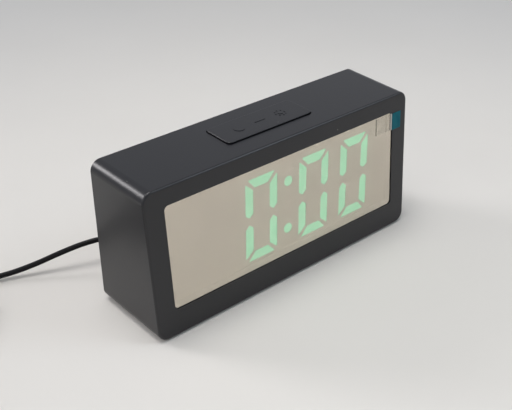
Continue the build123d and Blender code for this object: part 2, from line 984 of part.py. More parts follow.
with BuildPart() as buzzer:
    buzzer_plane = upright(cover_front_y)
    rounds(buzzer_plane, [(buzzer_x, buzzer_z)], buzzer_radius, buzzer_height)
    rounds(
        buzzer_plane,
        [(buzzer_x, buzzer_z)],
        buzzer_port_radius,
        buzzer_height / 2,
        Mode.SUBTRACT,
    )

# Wiring inside the housing
grommet_inside_y = cover_front_y - grommet_gap - grommet_flange
lead_height = exit_z + lead_drop
lead_end_y = depth_at(lead_height, board_rear) + wire_gap
lead_turn = (grommet_inside_y + lead_end_y) / 2


def wire(points):
    """A round wire along points, bent at each corner, in the piece being built."""
    with BuildLine() as path:
        FilletPolyline(*points, radius=wire_bend)
    line = path.wire()
    with BuildSketch(Plane(line @ 0, z_dir=line % 0)) as section:
        Circle(wire_radius)
    sweep(section.sketch, path=line)


with BuildPart() as power_leads:
    for side in (-1, 1):
        x = exit_x + side * wire_spread / 2
        wire(
            [
                (x, grommet_inside_y, exit_z),
                (x, lead_turn + lead_drop / 4, exit_z),
                (x, lead_turn - lead_drop / 4, lead_height),
                (x, lead_end_y, lead_height),
            ]
        )

snooze_wire_z = snooze_board_bottom - snooze_wire_drop
snooze_wire_end = depth_at(snooze_wire_z, board_rear) + wire_gap

with BuildPart() as snooze_leads:
    for side in (-1, 1):
        x = snooze_wire_x + side * wire_spread / 2
        wire(
            [
                (x, snooze_middle, snooze_board_bottom),
                (x, snooze_middle, snooze_wire_z),
                (x, snooze_wire_end, snooze_wire_z),
            ]
        )

ribbon_low = key_post_z - ribbon_drop
ribbon_end = depth_at(ribbon_low, board_rear) + wire_gap
ribbon_run = key_board_front_y - ribbon_end

with BuildPart() as key_ribbon:
    with BuildSketch(Plane.YZ.offset(ribbon_x - ribbon_width / 2)):
        with BuildLine():
            FilletPolyline(
                (key_board_front_y, key_post_z),
                (key_board_front_y - ribbon_run / 3, key_post_z),
                (ribbon_end + ribbon_run / 3, ribbon_low),
                (ribbon_end, ribbon_low),
                radius=wire_bend,
            )
        trace(line_width=ribbon_thickness)
    extrude(amount=ribbon_width)

# Power lead: strain relief moulded on the cord, with rings so that it bends
boot_start_y = cover_rear_y + grommet_flange
boot_end_y = boot_start_y + boot_length


def boot_radius(share):
    """The boot's outer radius at a share of its length."""
    return boot_root_radius + (boot_tip_radius - boot_root_radius) * share


grommet_outline = [
    (0, grommet_inside_y),
    (grommet_flange_radius, grommet_inside_y),
    (grommet_flange_radius, cover_front_y - grommet_gap),
    (grommet_neck_radius, cover_front_y - grommet_gap),
    (grommet_neck_radius, cover_rear_y),
    (grommet_flange_radius, cover_rear_y),
    (grommet_flange_radius, boot_start_y),
]
for ring in range(boot_rings):
    for share, sink in ((0.3, 0), (0.45, boot_ring_depth), (0.75, boot_ring_depth), (0.9, 0)):
        along = (ring + share) / boot_rings
        grommet_outline.append((boot_radius(along) - sink, boot_start_y + boot_length * along))
grommet_outline[7:7] = [(boot_root_radius, boot_start_y)]
grommet_outline += [(boot_tip_radius, boot_end_y), (0, boot_end_y)]

with BuildPart() as cord_grommet:
    with BuildSketch(Plane((exit_x, 0, exit_z))):
        Polygon(*grommet_outline, align=None)
    revolve(axis=Axis((exit_x, 0, exit_z), (0, 1, 0)))

# The coil lies on its tie: it spirals in on the lower layer, climbs, and spirals out on the upper
cord_radius = cord_diameter / 2
coil_pitch = cord_diameter + coil_self_gap
coil_inner = coil_mean_radius - coil_pitch * coil_turns / 4
coil_outer = coil_mean_radius + coil_pitch * coil_turns / 4
coil_low = cord_radius + tie_thickness + tie_gap
coil_middle = Vector(exit_x - coil_left, boot_end_y + coil_behind, 0)


def around(angle):
    """The outward direction from the coil's middle at an angle in degrees."""
    return Vector(math.cos(math.radians(angle)), math.sin(math.radians(angle)), 0)


def coil_point(turns):
    """The point of the coil's centreline after a number of turns."""
    radius = coil_inner + coil_pitch * abs(turns - coil_turns / 2)
    climb = min(max((turns - coil_turns / 2) / climb_turns + 0.5, 0), 1)
    height = coil_low + coil_pitch * (1 - math.cos(math.pi * climb)) / 2
    return coil_middle + around(coil_entry + 360 * turns) * radius + Vector(0, 0, height)


coil_exit = coil_entry + 360 * coil_turns
entry_way = around(coil_entry + 90)
exit_way = around(coil_exit + 90)
coil_start = coil_point(0) - entry_way * cord_diameter
coil_end = coil_point(coil_turns) + exit_way * cord_diameter

with BuildPart() as cord_coil:
    with BuildLine() as coil_path:
        Line(coil_start, coil_point(0))
        wind(coil_point, coil_turns, coil_spans, entry_way, exit_way)
        Line(coil_point(coil_turns), coil_end)
    with BuildSketch(Plane(coil_start, z_dir=entry_way)) as coil_section:
        Circle(cord_radius)
    sweep(coil_section.sketch, path=coil_path.wire())

with BuildPart() as cord_tie:
    tie_inner = math.sqrt((coil_inner - cord_radius) ** 2 - (tie_width / 2) ** 2) - tie_gap
    tie_outer = coil_outer + cord_radius + tie_gap
    tie_top = coil_low + coil_pitch + cord_radius + tie_gap
    tie_middle = coil_middle + Vector((tie_inner + tie_outer) / 2, 0, (tie_top + tie_thickness) / 2)
    with BuildSketch(Plane(tie_middle, x_dir=(1, 0, 0), z_dir=(0, -1, 0))):
        RectangleRounded(
            tie_outer - tie_inner + 2 * tie_thickness, tie_top + tie_thickness, tie_corner
        )
        RectangleRounded(
            tie_outer - tie_inner,
            tie_top - tie_thickness,
            tie_corner - tie_thickness,
            mode=Mode.SUBTRACT,
        )
    extrude(amount=tie_width / 2, both=True)

# Free runs of the cord: out of the boot, round to the left and down to the table, and coil to plug
overmould_middle = overmould_height / 2
plug_x = coil_end.X
tail_step = 8.0
lead_steps = [
    (0, 0, 0),
    (0, 5.55, 0),
    (-2.8, 11.95, -0.05),
    (-7.9, 16.75, -0.25),
    (-16.6, 20.05, -1.1),
    (-26.9, 23.95, -3.8),
    (-38.8, 28.75, -8.0),
    (-51.2, 33.65, -10.7),
]
lead_route = [Vector(exit_x, boot_end_y, exit_z) + Vector(*step) for step in lead_steps]
lead_route += [coil_start - entry_way * entry_run, coil_start]
tail_route = [
    coil_end,
    coil_end + exit_way * tail_step,
    Vector(plug_x, coil_end.Y - 2 * tail_step, overmould_middle),
    Vector(plug_x, coil_end.Y - 3 * tail_step, overmould_middle),
]


def lay(route, name):
    """Lays the cord along a route with each bend as wide as its runs allow; returns the path."""
    radii = []
    for before, at, after in zip(route, route[1:], route[2:], strict=False):
        turn = math.radians((at - before).get_angle(after - at))
        shorter = min((at - before).length, (after - at).length)
        radii.append(0.45 * shorter / math.tan(turn / 2))
    print(name, "radii", [round(radius, 1) for radius in radii])
    return FilletPolyline(*route, radius=radii)


with BuildPart() as power_cord:
    with BuildLine() as lead_path:
        lay(lead_route, "power_cord")
    with BuildSketch(Plane(lead_route[0], z_dir=lead_route[1] - lead_route[0])) as lead_section:
        Circle(cord_radius)
    sweep(lead_section.sketch, path=lead_path.wire())

with BuildPart() as cord_tail:
    with BuildLine() as tail_path:
        lay(tail_route, "cord_tail")
    with BuildSketch(Plane(tail_route[0], z_dir=tail_route[1] - tail_route[0])) as tail_section:
        Circle(cord_radius)
    sweep(tail_section.sketch, path=tail_path.wire())

# Plug, lying flat beside the coil and pointing forward
plug_boot_y = tail_route[-1].Y
overmould_y = plug_boot_y - plug_boot_length
shell_y = overmould_y - overmould_length
tongue_bottom = overmould_middle - shell_height / 2 + shell_wall + tongue_plug_gap
tongue_top = tongue_bottom + tongue_plug_height

with BuildPart() as usb_overmould:
    plates(
        upright(overmould_y, overmould_middle),
        [(plug_x, 0)],
        overmould_width,
        overmould_height,
        overmould_length,
        overmould_edge,
    )
    fillet(usb_overmould.faces().sort_by(Axis.Y)[-1].edges(), overmould_edge / 2)
    with BuildSketch(upright(plug_boot_y, overmould_middle)) as boot_tip:
        with Locations((plug_x, 0)):
            Circle(boot_tip_radius)
    with BuildSketch(upright(overmould_y - post_bite, overmould_middle)) as boot_root:
        with Locations((plug_x, 0)):
            Circle(plug_boot_radius)
    loft(sections=[boot_tip.sketch, boot_root.sketch], ruled=True)

with BuildPart() as usb_shell:
    shell_plane = upright(shell_y, overmould_middle)
    plates(shell_plane, [(plug_x, 0)], shell_width, shell_height, shell_length, shell_wall)
    plates(
        shell_plane,
        [(plug_x, 0)],
        shell_width - 2 * shell_wall,
        shell_height - 2 * shell_wall,
        shell_length,
        mode=Mode.SUBTRACT,
    )
    window_y = shell_y - shell_window_place
    plates(
        Plane.XY.offset(overmould_middle),
        [(plug_x + side * shell_window_spread / 2, window_y) for side in (-1, 1)],
        shell_window,
        shell_window,
        shell_height,
        mode=Mode.SUBTRACT,
    )

with BuildPart() as usb_tongue:
    plates(
        upright(shell_y, (tongue_bottom + tongue_top) / 2),
        [(plug_x, 0)],
        shell_width - 2 * (shell_wall + tongue_plug_gap),
        tongue_plug_height,
        shell_length - tongue_plug_short,
    )

with BuildPart() as usb_contacts:
    plates(
        upright(shell_y - tongue_plug_short, tongue_top + contact_strip_height / 2),
        [(plug_x + contact_pitch * (i - 1.5), 0) for i in range(4)],
        contact_strip,
        contact_strip_height,
        contact_strip_length,
    )

# Checks of the cord's winding: least gap between turns, and volume against section times length
coil_line = coil_path.wire()
coil_samples = [coil_line.position_at(i / 900) for i in range(901)]
skip = math.ceil(901 / coil_turns / 2)
least = min(
    (a - b).length for i, a in enumerate(coil_samples) for b in coil_samples[i + skip :]
)
print("cord_coil least gap to itself", round(least - cord_diameter, 3))
cord_area = math.pi * cord_radius**2
for name, tube, line in (
    ("power_cord", power_cord, lead_path),
    ("cord_coil", cord_coil, coil_path),
    ("cord_tail", cord_tail, tail_path),
):
    length = line.wire().length
    print(name, "length", round(length, 1), "volume share", round(tube.part.volume / cord_area / length, 4))

pieces = {
    "front_housing": front_housing,
    "rubber_feet": rubber_feet,
    "lens_tape": lens_tape,
    "mirror_lens": mirror_lens,
    "protective_film": protective_film,
    "tab_tape": tab_tape,
    "film_pull_tab": film_pull_tab,
    "lit_segments": lit_segments,
    "unlit_segments": unlit_segments,
    "digit_reflector": digit_reflector,
    "display_board": display_board,
    "led_chips": led_chips,
    "driver_chip": driver_chip,
    "crystal": crystal,
    "snooze_button": snooze_button,
    "snooze_board": snooze_board,
    "snooze_switch": snooze_switch,
    "rear_cover": rear_cover,
    "cover_screws": cover_screws,
    "battery_door": battery_door,
    "battery_plates": battery_plates,
    "battery_springs": battery_springs,
    "key_board": key_board,
    "key_switches": key_switches,
    **setting_keys,
    "board_screws": board_screws,
    "buzzer": buzzer,
    "power_leads": power_leads,
    "snooze_leads": snooze_leads,
    "key_ribbon": key_ribbon,
    "cord_grommet": cord_grommet,
    "power_cord": power_cord,
    "cord_coil": cord_coil,
    "cord_tie": cord_tie,
    "cord_tail": cord_tail,
    "usb_overmould": usb_overmould,
    "usb_shell": usb_shell,
    "usb_tongue": usb_tongue,
    "usb_contacts": usb_contacts,
}
for name, piece in pieces.items():
    piece.part.label = name
    export_step(piece.part, f"parts/{name}.step")
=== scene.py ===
"""Looks of a digital desk clock: finishes, mirror lens, loose lead, moulded marks, light and camera.

Metres, in the CAD model's frame: the origin is on the table under the clock's middle, +X is to the
right as the time is read, +Y is to the rear and +Z is up.
"""

import logging
import math
from dataclasses import dataclass, field, replace
from enum import Enum, IntEnum

import bmesh
import bpy
from mathutils import Matrix, Vector
from mathutils.geometry import delaunay_2d_cdt


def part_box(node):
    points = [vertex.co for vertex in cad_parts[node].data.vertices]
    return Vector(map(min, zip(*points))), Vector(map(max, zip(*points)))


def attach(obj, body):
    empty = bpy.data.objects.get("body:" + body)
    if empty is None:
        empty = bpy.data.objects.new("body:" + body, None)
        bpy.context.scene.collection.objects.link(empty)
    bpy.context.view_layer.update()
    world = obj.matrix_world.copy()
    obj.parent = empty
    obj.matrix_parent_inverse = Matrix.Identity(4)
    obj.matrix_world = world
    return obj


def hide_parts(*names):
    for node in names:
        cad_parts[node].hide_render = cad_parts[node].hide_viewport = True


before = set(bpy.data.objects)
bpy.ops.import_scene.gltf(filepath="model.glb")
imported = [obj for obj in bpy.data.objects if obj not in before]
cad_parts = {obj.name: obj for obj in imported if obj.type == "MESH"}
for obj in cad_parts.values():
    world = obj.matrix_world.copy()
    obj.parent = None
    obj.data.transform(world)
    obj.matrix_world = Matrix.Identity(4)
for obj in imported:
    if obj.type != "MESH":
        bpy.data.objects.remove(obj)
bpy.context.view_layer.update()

MM = 0.001
WELD = 0.001 * MM  # points of a mesh that are nearer than this are one point
LEVEL = 0.01 * MM  # a face within this of a depth lies at that depth
Colour = tuple[float, float, float]
Place = tuple[float, float, float]
Spot = tuple[float, float]
PATCH_EDGE: Spot = (0.35, 0.65)  # noise values between which one shade passes into another
STREAK_EDGE: Spot = (0.3, 0.7)  # the same for the streaks of drawn metal
SMEAR_EDGE: Spot = (0.45, 0.75)  # noise values between which a smear sets in
LEAST_SPECK = 0.3  # added to each speck's random share of the speck size
RING_POINTS = 32  # points around a raised ring
log = logging.getLogger("desk_clock")


class Body(str, Enum):
    """The CAD bodies that pieces ride on."""

    HOUSING = "housing"
    DOOR = "door"


class LensFace(IntEnum):
    """The lens's finishes, in slot order."""

    COAT = 0
    BACKING = 1
    PANE = 2


class ShaderSheet:
    """A shader node tree with short calls for its nodes, links and sums."""

    def __init__(self, tree: bpy.types.NodeTree) -> None:
        """Keeps the tree that the calls fill in.

        Args:
            tree: The node tree of a material, a world or a group.
        """
        self.tree = tree

    def add(self, kind: str, **inputs: object) -> bpy.types.Node:
        """Adds a node and sets or links its inputs.

        Args:
            kind: The node's type name.
            **inputs: Values or sockets by input name, with spaces written as underscores.

        Returns:
            The new node.
        """
        return self._fill(self.tree.nodes.new(kind), inputs)

    def place(self, effect: bpy.types.NodeTree, **inputs: object) -> bpy.types.Node:
        """Places a shared effect and sets or links its inputs.

        Args:
            effect: The effect's node group.
            **inputs: Values or sockets by input name, with spaces written as underscores.

        Returns:
            The placed group node.
        """
        node = self.tree.nodes.new("ShaderNodeGroup")
        node.node_tree = effect
        return self._fill(node, inputs)

    def _fill(self, node: bpy.types.Node, inputs: dict[str, object]) -> bpy.types.Node:
        """Sets or links a node's inputs.

        Args:
            node: The node.
            inputs: Values or sockets by input name, with spaces written as underscores.

        Returns:
            The same node.
        """
        for name, value in inputs.items():
            self.feed(node.inputs[name.replace("_", " ")], value)
        return node

    def feed(self, socket: bpy.types.NodeSocket, value: object) -> None:
        """Links a socket to another, or sets its constant.

        Args:
            socket: The input socket.
            value: An output socket, a number, or a colour of three or four numbers.
        """
        if isinstance(value, bpy.types.NodeSocket):
            self.tree.links.new(value, socket)
        elif isinstance(value, tuple) and len(value) == 3 and socket.type == "RGBA":
            socket.default_value = (*value, 1.0)
        else:
            socket.default_value = value

    def math(
        self, step: str, first: object, second: object = 0.0, clamp: bool = False
    ) -> bpy.types.NodeSocket:
        """Adds one sum of two values.

        Args:
            step: The operation's name.
            first: A number or a socket.
            second: A number or a socket.
            clamp: Whether the result is kept between 0 and 1.

        Returns:
            The socket that holds the result.
        """
        node = self.tree.nodes.new("ShaderNodeMath")
        node.operation = step
        node.use_clamp = clamp
        self.feed(node.inputs[0], first)
        self.feed(node.inputs[1], second)
        return node.outputs[0]

    def scaled(self, value: object, gain: float, base: float) -> bpy.types.NodeSocket:
        """A value times a gain, plus a base."""
        return self.math("ADD", self.math("MULTIPLY", value, gain), base)

    def object_place(self) -> bpy.types.NodeSocket:
        """The point on the surface, in the object's own axes."""
        return self.add("ShaderNodeTexCoord").outputs["Object"]

    def noise(
        self, place: object, scale: object, detail: float, distortion: float = 0.0
    ) -> bpy.types.NodeSocket:
        """Adds a noise texture.

        Args:
            place: The socket that gives the point.
            scale: How fine the noise is, as a number or a socket.
            detail: How many finer layers it has.
            distortion: How far its layers are bent.

        Returns:
            The noise value's socket.
        """
        node = self.add("ShaderNodeTexNoise", Vector=place, Scale=scale, Detail=detail)
        node.inputs["Distortion"].default_value = distortion
        return node.outputs[0]

    def blend(self, share: object, first: object, second: object) -> bpy.types.NodeSocket:
        """Mixes two colours.

        Args:
            share: How much of the second colour shows, as a number or a socket.
            first: A colour or a socket.
            second: A colour or a socket.

        Returns:
            The mixed colour's socket.
        """
        node = self.tree.nodes.new("ShaderNodeMix")
        node.data_type = "RGBA"
        self.feed(node.inputs["Factor"], share)
        colours = [s for s in node.inputs if s.type == "RGBA"]
        self.feed(colours[0], first)
        self.feed(colours[1], second)
        return next(s for s in node.outputs if s.type == "RGBA")

    def window(self, value: object, low: float, high: float) -> bpy.types.NodeSocket:
        """Turns a value into a mask that rises from 0 at low to 1 at high.

        Args:
            value: The socket to read.
            low: Where the mask is 0.
            high: Where the mask is 1.

        Returns:
            The mask's socket.
        """
        node = self.tree.nodes.new("ShaderNodeMapRange")
        self.feed(node.inputs["Value"], value)
        node.inputs["From Min"].default_value = low
        node.inputs["From Max"].default_value = high
        return node.outputs["Result"]


class SharedEffects:
    """Shader node groups that more than one finish uses, each built once."""

    def __init__(self) -> None:
        """Builds each group."""
        self.moulded_grain = self._moulded_grain()
        self.settled_dust = self._settled_dust()
        self.drawn_streaks = self._drawn_streaks()
        self.handling_marks = self._handling_marks()

    def _begin(
        self, name: str, inputs: dict[str, str], outputs: dict[str, str]
    ) -> tuple[ShaderSheet, dict, dict]:
        """Makes a group with its sockets.

        Args:
            name: The group's name.
            inputs: Socket kinds by input name.
            outputs: Socket kinds by output name.

        Returns:
            The sheet to fill in, the sockets to read and the sockets to feed.
        """
        tree = bpy.data.node_groups.new(name, "ShaderNodeTree")
        for label, kind in inputs.items():
            tree.interface.new_socket(name=label, in_out="INPUT", socket_type=f"NodeSocket{kind}")
        for label, kind in outputs.items():
            tree.interface.new_socket(name=label, in_out="OUTPUT", socket_type=f"NodeSocket{kind}")
        start = tree.nodes.new("NodeGroupInput")
        end = tree.nodes.new("NodeGroupOutput")
        given = {socket.name: socket for socket in start.outputs}
        made = {socket.name: socket for socket in end.inputs}
        return ShaderSheet(tree), given, made

    def _moulded_grain(self) -> bpy.types.NodeTree:
        """Fine tool grain with broad patches of shade, for anything moulded.

        Returns:
            The group.
        """
        sheet, given, made = self._begin(
            "moulded_grain",
            {
                "Colour": "Color",
                "Shade": "Color",
                "Mottle": "Float",
                "Mottle Scale": "Float",
                "Grain Scale": "Float",
                "Roughness": "Float",
                "Spread": "Float",
            },
            {"Colour": "Color", "Roughness": "Float", "Height": "Float"},
        )
        place = sheet.object_place()
        fine = sheet.noise(place, given["Grain Scale"], detail=2.0)
        broad = sheet.noise(place, given["Mottle Scale"], detail=4.0)
        patch = sheet.math("MULTIPLY", sheet.window(broad, *PATCH_EDGE), given["Mottle"])
        drift = sheet.math("ADD", sheet.math("ADD", fine, broad), -1.0)
        rough = sheet.math("MULTIPLY", drift, given["Spread"])
        sheet.feed(made["Colour"], sheet.blend(patch, given["Colour"], given["Shade"]))
        sheet.feed(made["Roughness"], sheet.math("ADD", rough, given["Roughness"], clamp=True))
        sheet.feed(made["Height"], fine)
        return sheet.tree

    def _settled_dust(self) -> bpy.types.NodeTree:
        """Sparse specks of dust and lint in random cells.

        Returns:
            The group.
        """
        sheet, given, made = self._begin(
            "settled_dust",
            {
                "Colour": "Color",
                "Dust": "Color",
                "Scale": "Float",
                "Amount": "Float",
                "Speck": "Float",
            },
            {"Colour": "Color", "Mask": "Float"},
        )
        place = sheet.object_place()
        cells = sheet.add("ShaderNodeTexVoronoi", Vector=place, Scale=given["Scale"])
        chance = sheet.add("ShaderNodeSeparateColor", Color=cells.outputs["Color"])
        chosen = sheet.math("LESS_THAN", chance.outputs[0], given["Amount"])
        share = sheet.math("ADD", chance.outputs[1], LEAST_SPECK)
        size = sheet.math("MULTIPLY", given["Speck"], share)
        near = sheet.math("LESS_THAN", cells.outputs["Distance"], size)
        mask = sheet.math("MULTIPLY", chosen, near)
        sheet.feed(made["Mask"], mask)
        sheet.feed(made["Colour"], sheet.blend(mask, given["Colour"], given["Dust"]))
        return sheet.tree

    def _drawn_streaks(self) -> bpy.types.NodeTree:
        """Long fine streaks along one axis, for drawn, rolled or brushed metal.

        Returns:
            The group.
        """
        sheet, given, made = self._begin(
            "drawn_streaks",
            {
                "Colour": "Color",
                "Dark": "Color",
                "Stretch": "Vector",
                "Scale": "Float",
                "Roughness": "Float",
                "Spread": "Float",
            },
            {"Colour": "Color", "Roughness": "Float", "Height": "Float"},
        )
        place = sheet.object_place()
        pulled = sheet.add("ShaderNodeVectorMath")
        pulled.operation = "MULTIPLY"
        sheet.feed(pulled.inputs[0], place)
        sheet.feed(pulled.inputs[1], given["Stretch"])
        lines = sheet.noise(pulled.outputs[0], given["Scale"], detail=3.0)
        drift = sheet.math("MULTIPLY", sheet.math("ADD", lines, -0.5), given["Spread"])
        shade = sheet.window(lines, *STREAK_EDGE)
        sheet.feed(made["Colour"], sheet.blend(shade, given["Dark"], given["Colour"]))
        sheet.feed(made["Roughness"], sheet.math("ADD", drift, given["Roughness"], clamp=True))
        sheet.feed(made["Height"], lines)
        return sheet.tree

    def _handling_marks(self) -> bpy.types.NodeTree:
        """Faint smears left by hands, as a mask.

        Returns:
            The group.
        """
        sheet, given, made = self._begin(
            "handling_marks", {"Scale": "Float", "Amount": "Float"}, {"Mask": "Float"}
        )
        place = sheet.object_place()
        smear = sheet.noise(place, given["Scale"], detail=5.0, distortion=0.8)
        soft = sheet.window(smear, *SMEAR_EDGE)
        sheet.feed(made["Mask"], sheet.math("MULTIPLY", soft, given["Amount"]))
        return sheet.tree


EFFECTS = SharedEffects()


def new_finish(name: str) -> tuple[bpy.types.Material, ShaderSheet, bpy.types.Node]:
    """Makes an empty material with its Principled shader.

    Args:
        name: The material's name.

    Returns:
        The material, its sheet and its shader.
    """
    material = bpy.data.materials.new(name)
    material.use_nodes = True
    shader = material.node_tree.nodes["Principled BSDF"]
    return material, ShaderSheet(material.node_tree), shader


def raise_grain(sheet: ShaderSheet, shader: bpy.types.Node, height: object, depth: float) -> None:
    """Bumps a shader's surface.

    Args:
        sheet: The finish's sheet.
        shader: The Principled shader.
        height: The socket that gives the height, from 0 to 1.
        depth: How deep the bump is, in metres.
    """
    bump = sheet.add("ShaderNodeBump", Height=height)
    bump.inputs["Strength"].default_value = 1.0
    bump.inputs["Distance"].default_value = depth
    sheet.feed(shader.inputs["Normal"], bump.outputs["Normal"])


@dataclass(frozen=True)
class MouldedFinish:
    """A moulded plastic or rubber surface with tool grain, patches of shade and dust."""

    name: str
    colour: Colour
    shade: Colour
    roughness: float = 0.5
    spread: float = 0.12
    grain_scale: float = 1500.0
    grain_depth: float = 0.02 * MM
    mottle: float = 0.6
    mottle_scale: float = 45.0
    dust: float = 0.0
    dust_colour: Colour = (0.22, 0.22, 0.2)
    specular: float = 0.5
    dust_scale: float = 210.0
    dust_size: float = 0.06

    def make(self) -> bpy.types.Material:
        """Builds the material.

        Returns:
            The new material.
        """
        material, sheet, shader = new_finish(self.name)
        grain = sheet.place(
            EFFECTS.moulded_grain,
            Colour=self.colour,
            Shade=self.shade,
            Mottle=self.mottle,
            Mottle_Scale=self.mottle_scale,
            Grain_Scale=self.grain_scale,
            Roughness=self.roughness,
            Spread=self.spread,
        )
        colour = grain.outputs["Colour"]
        if self.dust:
            specks = sheet.place(
                EFFECTS.settled_dust,
                Colour=colour,
                Dust=self.dust_colour,
                Scale=self.dust_scale,
                Amount=self.dust,
                Speck=self.dust_size,
            )
            colour = specks.outputs["Colour"]
        sheet.feed(shader.inputs["Base Color"], colour)
        sheet.feed(shader.inputs["Roughness"], grain.outputs["Roughness"])
        shader.inputs["Specular IOR Level"].default_value = self.specular
        raise_grain(sheet, shader, grain.outputs["Height"], self.grain_depth)
        return material


@dataclass(frozen=True)
class PlatedFinish:
    """A plated or drawn metal surface with fine streaks."""

    name: str
    colour: Colour
    dark: Colour
    roughness: float = 0.28
    spread: float = 0.2
    stretch: tuple[float, float, float] = (1.0, 12.0, 1.0)
    scale: float = 300.0
    depth: float = 0.004 * MM

    def make(self) -> bpy.types.Material:
        """Builds the material.

        Returns:
            The new material.
        """
        material, sheet, shader = new_finish(self.name)
        streaks = sheet.place(
            EFFECTS.drawn_streaks,
            Colour=self.colour,
            Dark=self.dark,
            Stretch=self.stretch,
            Scale=self.scale,
            Roughness=self.roughness,
            Spread=self.spread,
        )
        sheet.feed(shader.inputs["Base Color"], streaks.outputs["Colour"])
        sheet.feed(shader.inputs["Roughness"], streaks.outputs["Roughness"])
        shader.inputs["Metallic"].default_value = 1.0
        raise_grain(sheet, shader, streaks.outputs["Height"], self.depth)
        return material


@dataclass(frozen=True)
class HalfMirrorFinish:
    """The thin metal coat on the lens, which lets a share of the light through."""

    name: str
    colour: Colour
    worn: Colour
    cover: float
    roughness: float = 0.05
    smears: float = 0.5
    smear_scale: float = 38.0
    smear_roughness: float = 0.06

    def make(self) -> bpy.types.Material:
        """Builds the material.

        Returns:
            The new material.
        """
        material, sheet, shader = new_finish(self.name)
        marks = sheet.place(EFFECTS.handling_marks, Scale=self.smear_scale, Amount=self.smears)
        colour = sheet.blend(marks.outputs["Mask"], self.colour, self.worn)
        sheet.feed(shader.inputs["Base Color"], colour)
        rough = sheet.scaled(marks.outputs["Mask"], self.smear_roughness, self.roughness)
        sheet.feed(shader.inputs["Roughness"], rough)
        shader.inputs["Metallic"].default_value = 1.0
        shader.inputs["Alpha"].default_value = self.cover
        return material


@dataclass(frozen=True)
class ClearFinish:
    """Clear sheet: a faint haze with smears, and specks where dust is caught."""

    name: str
    colour: Colour
    haze: float
    smears: float
    specks: float = 0.0
    speck_colour: Colour = (0.05, 0.045, 0.04)
    roughness: float = 0.12
    specular: float = 0.25
    smear_scale: float = 55.0
    smear_haze: float = 0.2
    speck_scale: float = 75.0
    speck_size: float = 0.03
    speck_cover: float = 0.6

    def make(self) -> bpy.types.Material:
        """Builds the material.

        Returns:
            The new material.
        """
        material, sheet, shader = new_finish(self.name)
        marks = sheet.place(EFFECTS.handling_marks, Scale=self.smear_scale, Amount=self.smears)
        colour = self.colour
        cover = sheet.scaled(marks.outputs["Mask"], self.smear_haze, self.haze)
        if self.specks:
            specks = sheet.place(
                EFFECTS.settled_dust,
                Colour=self.colour,
                Dust=self.speck_colour,
                Scale=self.speck_scale,
                Amount=self.specks,
                Speck=self.speck_size,
            )
            colour = specks.outputs["Colour"]
            caught = sheet.math("MULTIPLY", specks.outputs["Mask"], self.speck_cover)
            cover = sheet.math("ADD", cover, caught, clamp=True)
        sheet.feed(shader.inputs["Base Color"], colour)
        rough = sheet.math("ADD", marks.outputs["Mask"], self.roughness)
        sheet.feed(shader.inputs["Roughness"], rough)
        shader.inputs["Specular IOR Level"].default_value = self.specular
        sheet.feed(shader.inputs["Alpha"], cover)
        return material


@dataclass(frozen=True)
class TapeFinish:
    """Clear tape with a fine dark line at its end, painted shade along its crease, and a pale
    stuck-on band.
    """

    name: str
    colour: Colour
    dark_lines: Colour
    pale: Colour
    end_x: float
    crease_x: float
    pale_x: float
    line: float = 0.28 * MM
    end_line: float = 0.5
    # how dark the crease line is: painted shade along the fold
    crease_shade: float = 0.16
    haze: float = 0.05
    pale_cover: float = 0.5
    roughness: float = 0.15
    specular: float = 0.25
    smears: float = 0.5
    smear_scale: float = 90.0
    smear_haze: float = 0.06
    smear_roughness: float = 0.3

    def make(self) -> bpy.types.Material:
        """Builds the material.

        Returns:
            The new material.
        """
        material, sheet, shader = new_finish(self.name)
        marks = sheet.place(EFFECTS.handling_marks, Scale=self.smear_scale, Amount=self.smears)
        place = sheet.object_place()
        across = sheet.add("ShaderNodeSeparateXYZ", Vector=place).outputs["X"]
        lines = []
        # a dark line at the tape's end, and painted shade along its crease
        for at, share in ((self.end_x, self.end_line), (self.crease_x, self.crease_shade)):
            away = sheet.math("ABSOLUTE", sheet.math("SUBTRACT", across, at))
            close = sheet.window(away, self.line, self.line / 2)
            lines.append(sheet.math("MULTIPLY", close, share))
        dark_lines = sheet.math("ADD", *lines, clamp=True)
        stuck = sheet.math("GREATER_THAN", across, self.pale_x)
        with_dark_lines = sheet.blend(dark_lines, self.colour, self.dark_lines)
        sheet.feed(shader.inputs["Base Color"], sheet.blend(stuck, with_dark_lines, self.pale))
        shader.inputs["Specular IOR Level"].default_value = self.specular
        rough = sheet.scaled(marks.outputs["Mask"], self.smear_roughness, self.roughness)
        sheet.feed(shader.inputs["Roughness"], rough)
        haze = sheet.scaled(marks.outputs["Mask"], self.smear_haze, self.haze)
        cover = sheet.math("MAXIMUM", sheet.math("MULTIPLY", stuck, self.pale_cover), dark_lines)
        sheet.feed(shader.inputs["Alpha"], sheet.math("MAXIMUM", haze, cover))
        return material


@dataclass(frozen=True)
class TintedFilmFinish:
    """The coloured flap of the pull tab: dyed film with a pale root, a little see-through."""

    name: str
    colour: Colour
    deep: Colour
    root: Colour
    root_x: float
    cover: float = 0.97
    roughness: float = 0.4
    specular: float = 0.15
    smears: float = 0.9
    smear_scale: float = 160.0
    smear_roughness: float = 0.2

    def make(self) -> bpy.types.Material:
        """Builds the material.

        Returns:
            The new material.
        """
        material, sheet, shader = new_finish(self.name)
        marks = sheet.place(EFFECTS.handling_marks, Scale=self.smear_scale, Amount=self.smears)
        dyed = sheet.blend(marks.outputs["Mask"], self.colour, self.deep)
        place = sheet.object_place()
        across = sheet.add("ShaderNodeSeparateXYZ", Vector=place).outputs["X"]
        root = sheet.math("LESS_THAN", across, self.root_x)
        sheet.feed(shader.inputs["Base Color"], sheet.blend(root, dyed, self.root))
        shader.inputs["Specular IOR Level"].default_value = self.specular
        rough = sheet.scaled(marks.outputs["Mask"], self.smear_roughness, self.roughness)
        sheet.feed(shader.inputs["Roughness"], rough)
        shader.inputs["Alpha"].default_value = self.cover
        return material


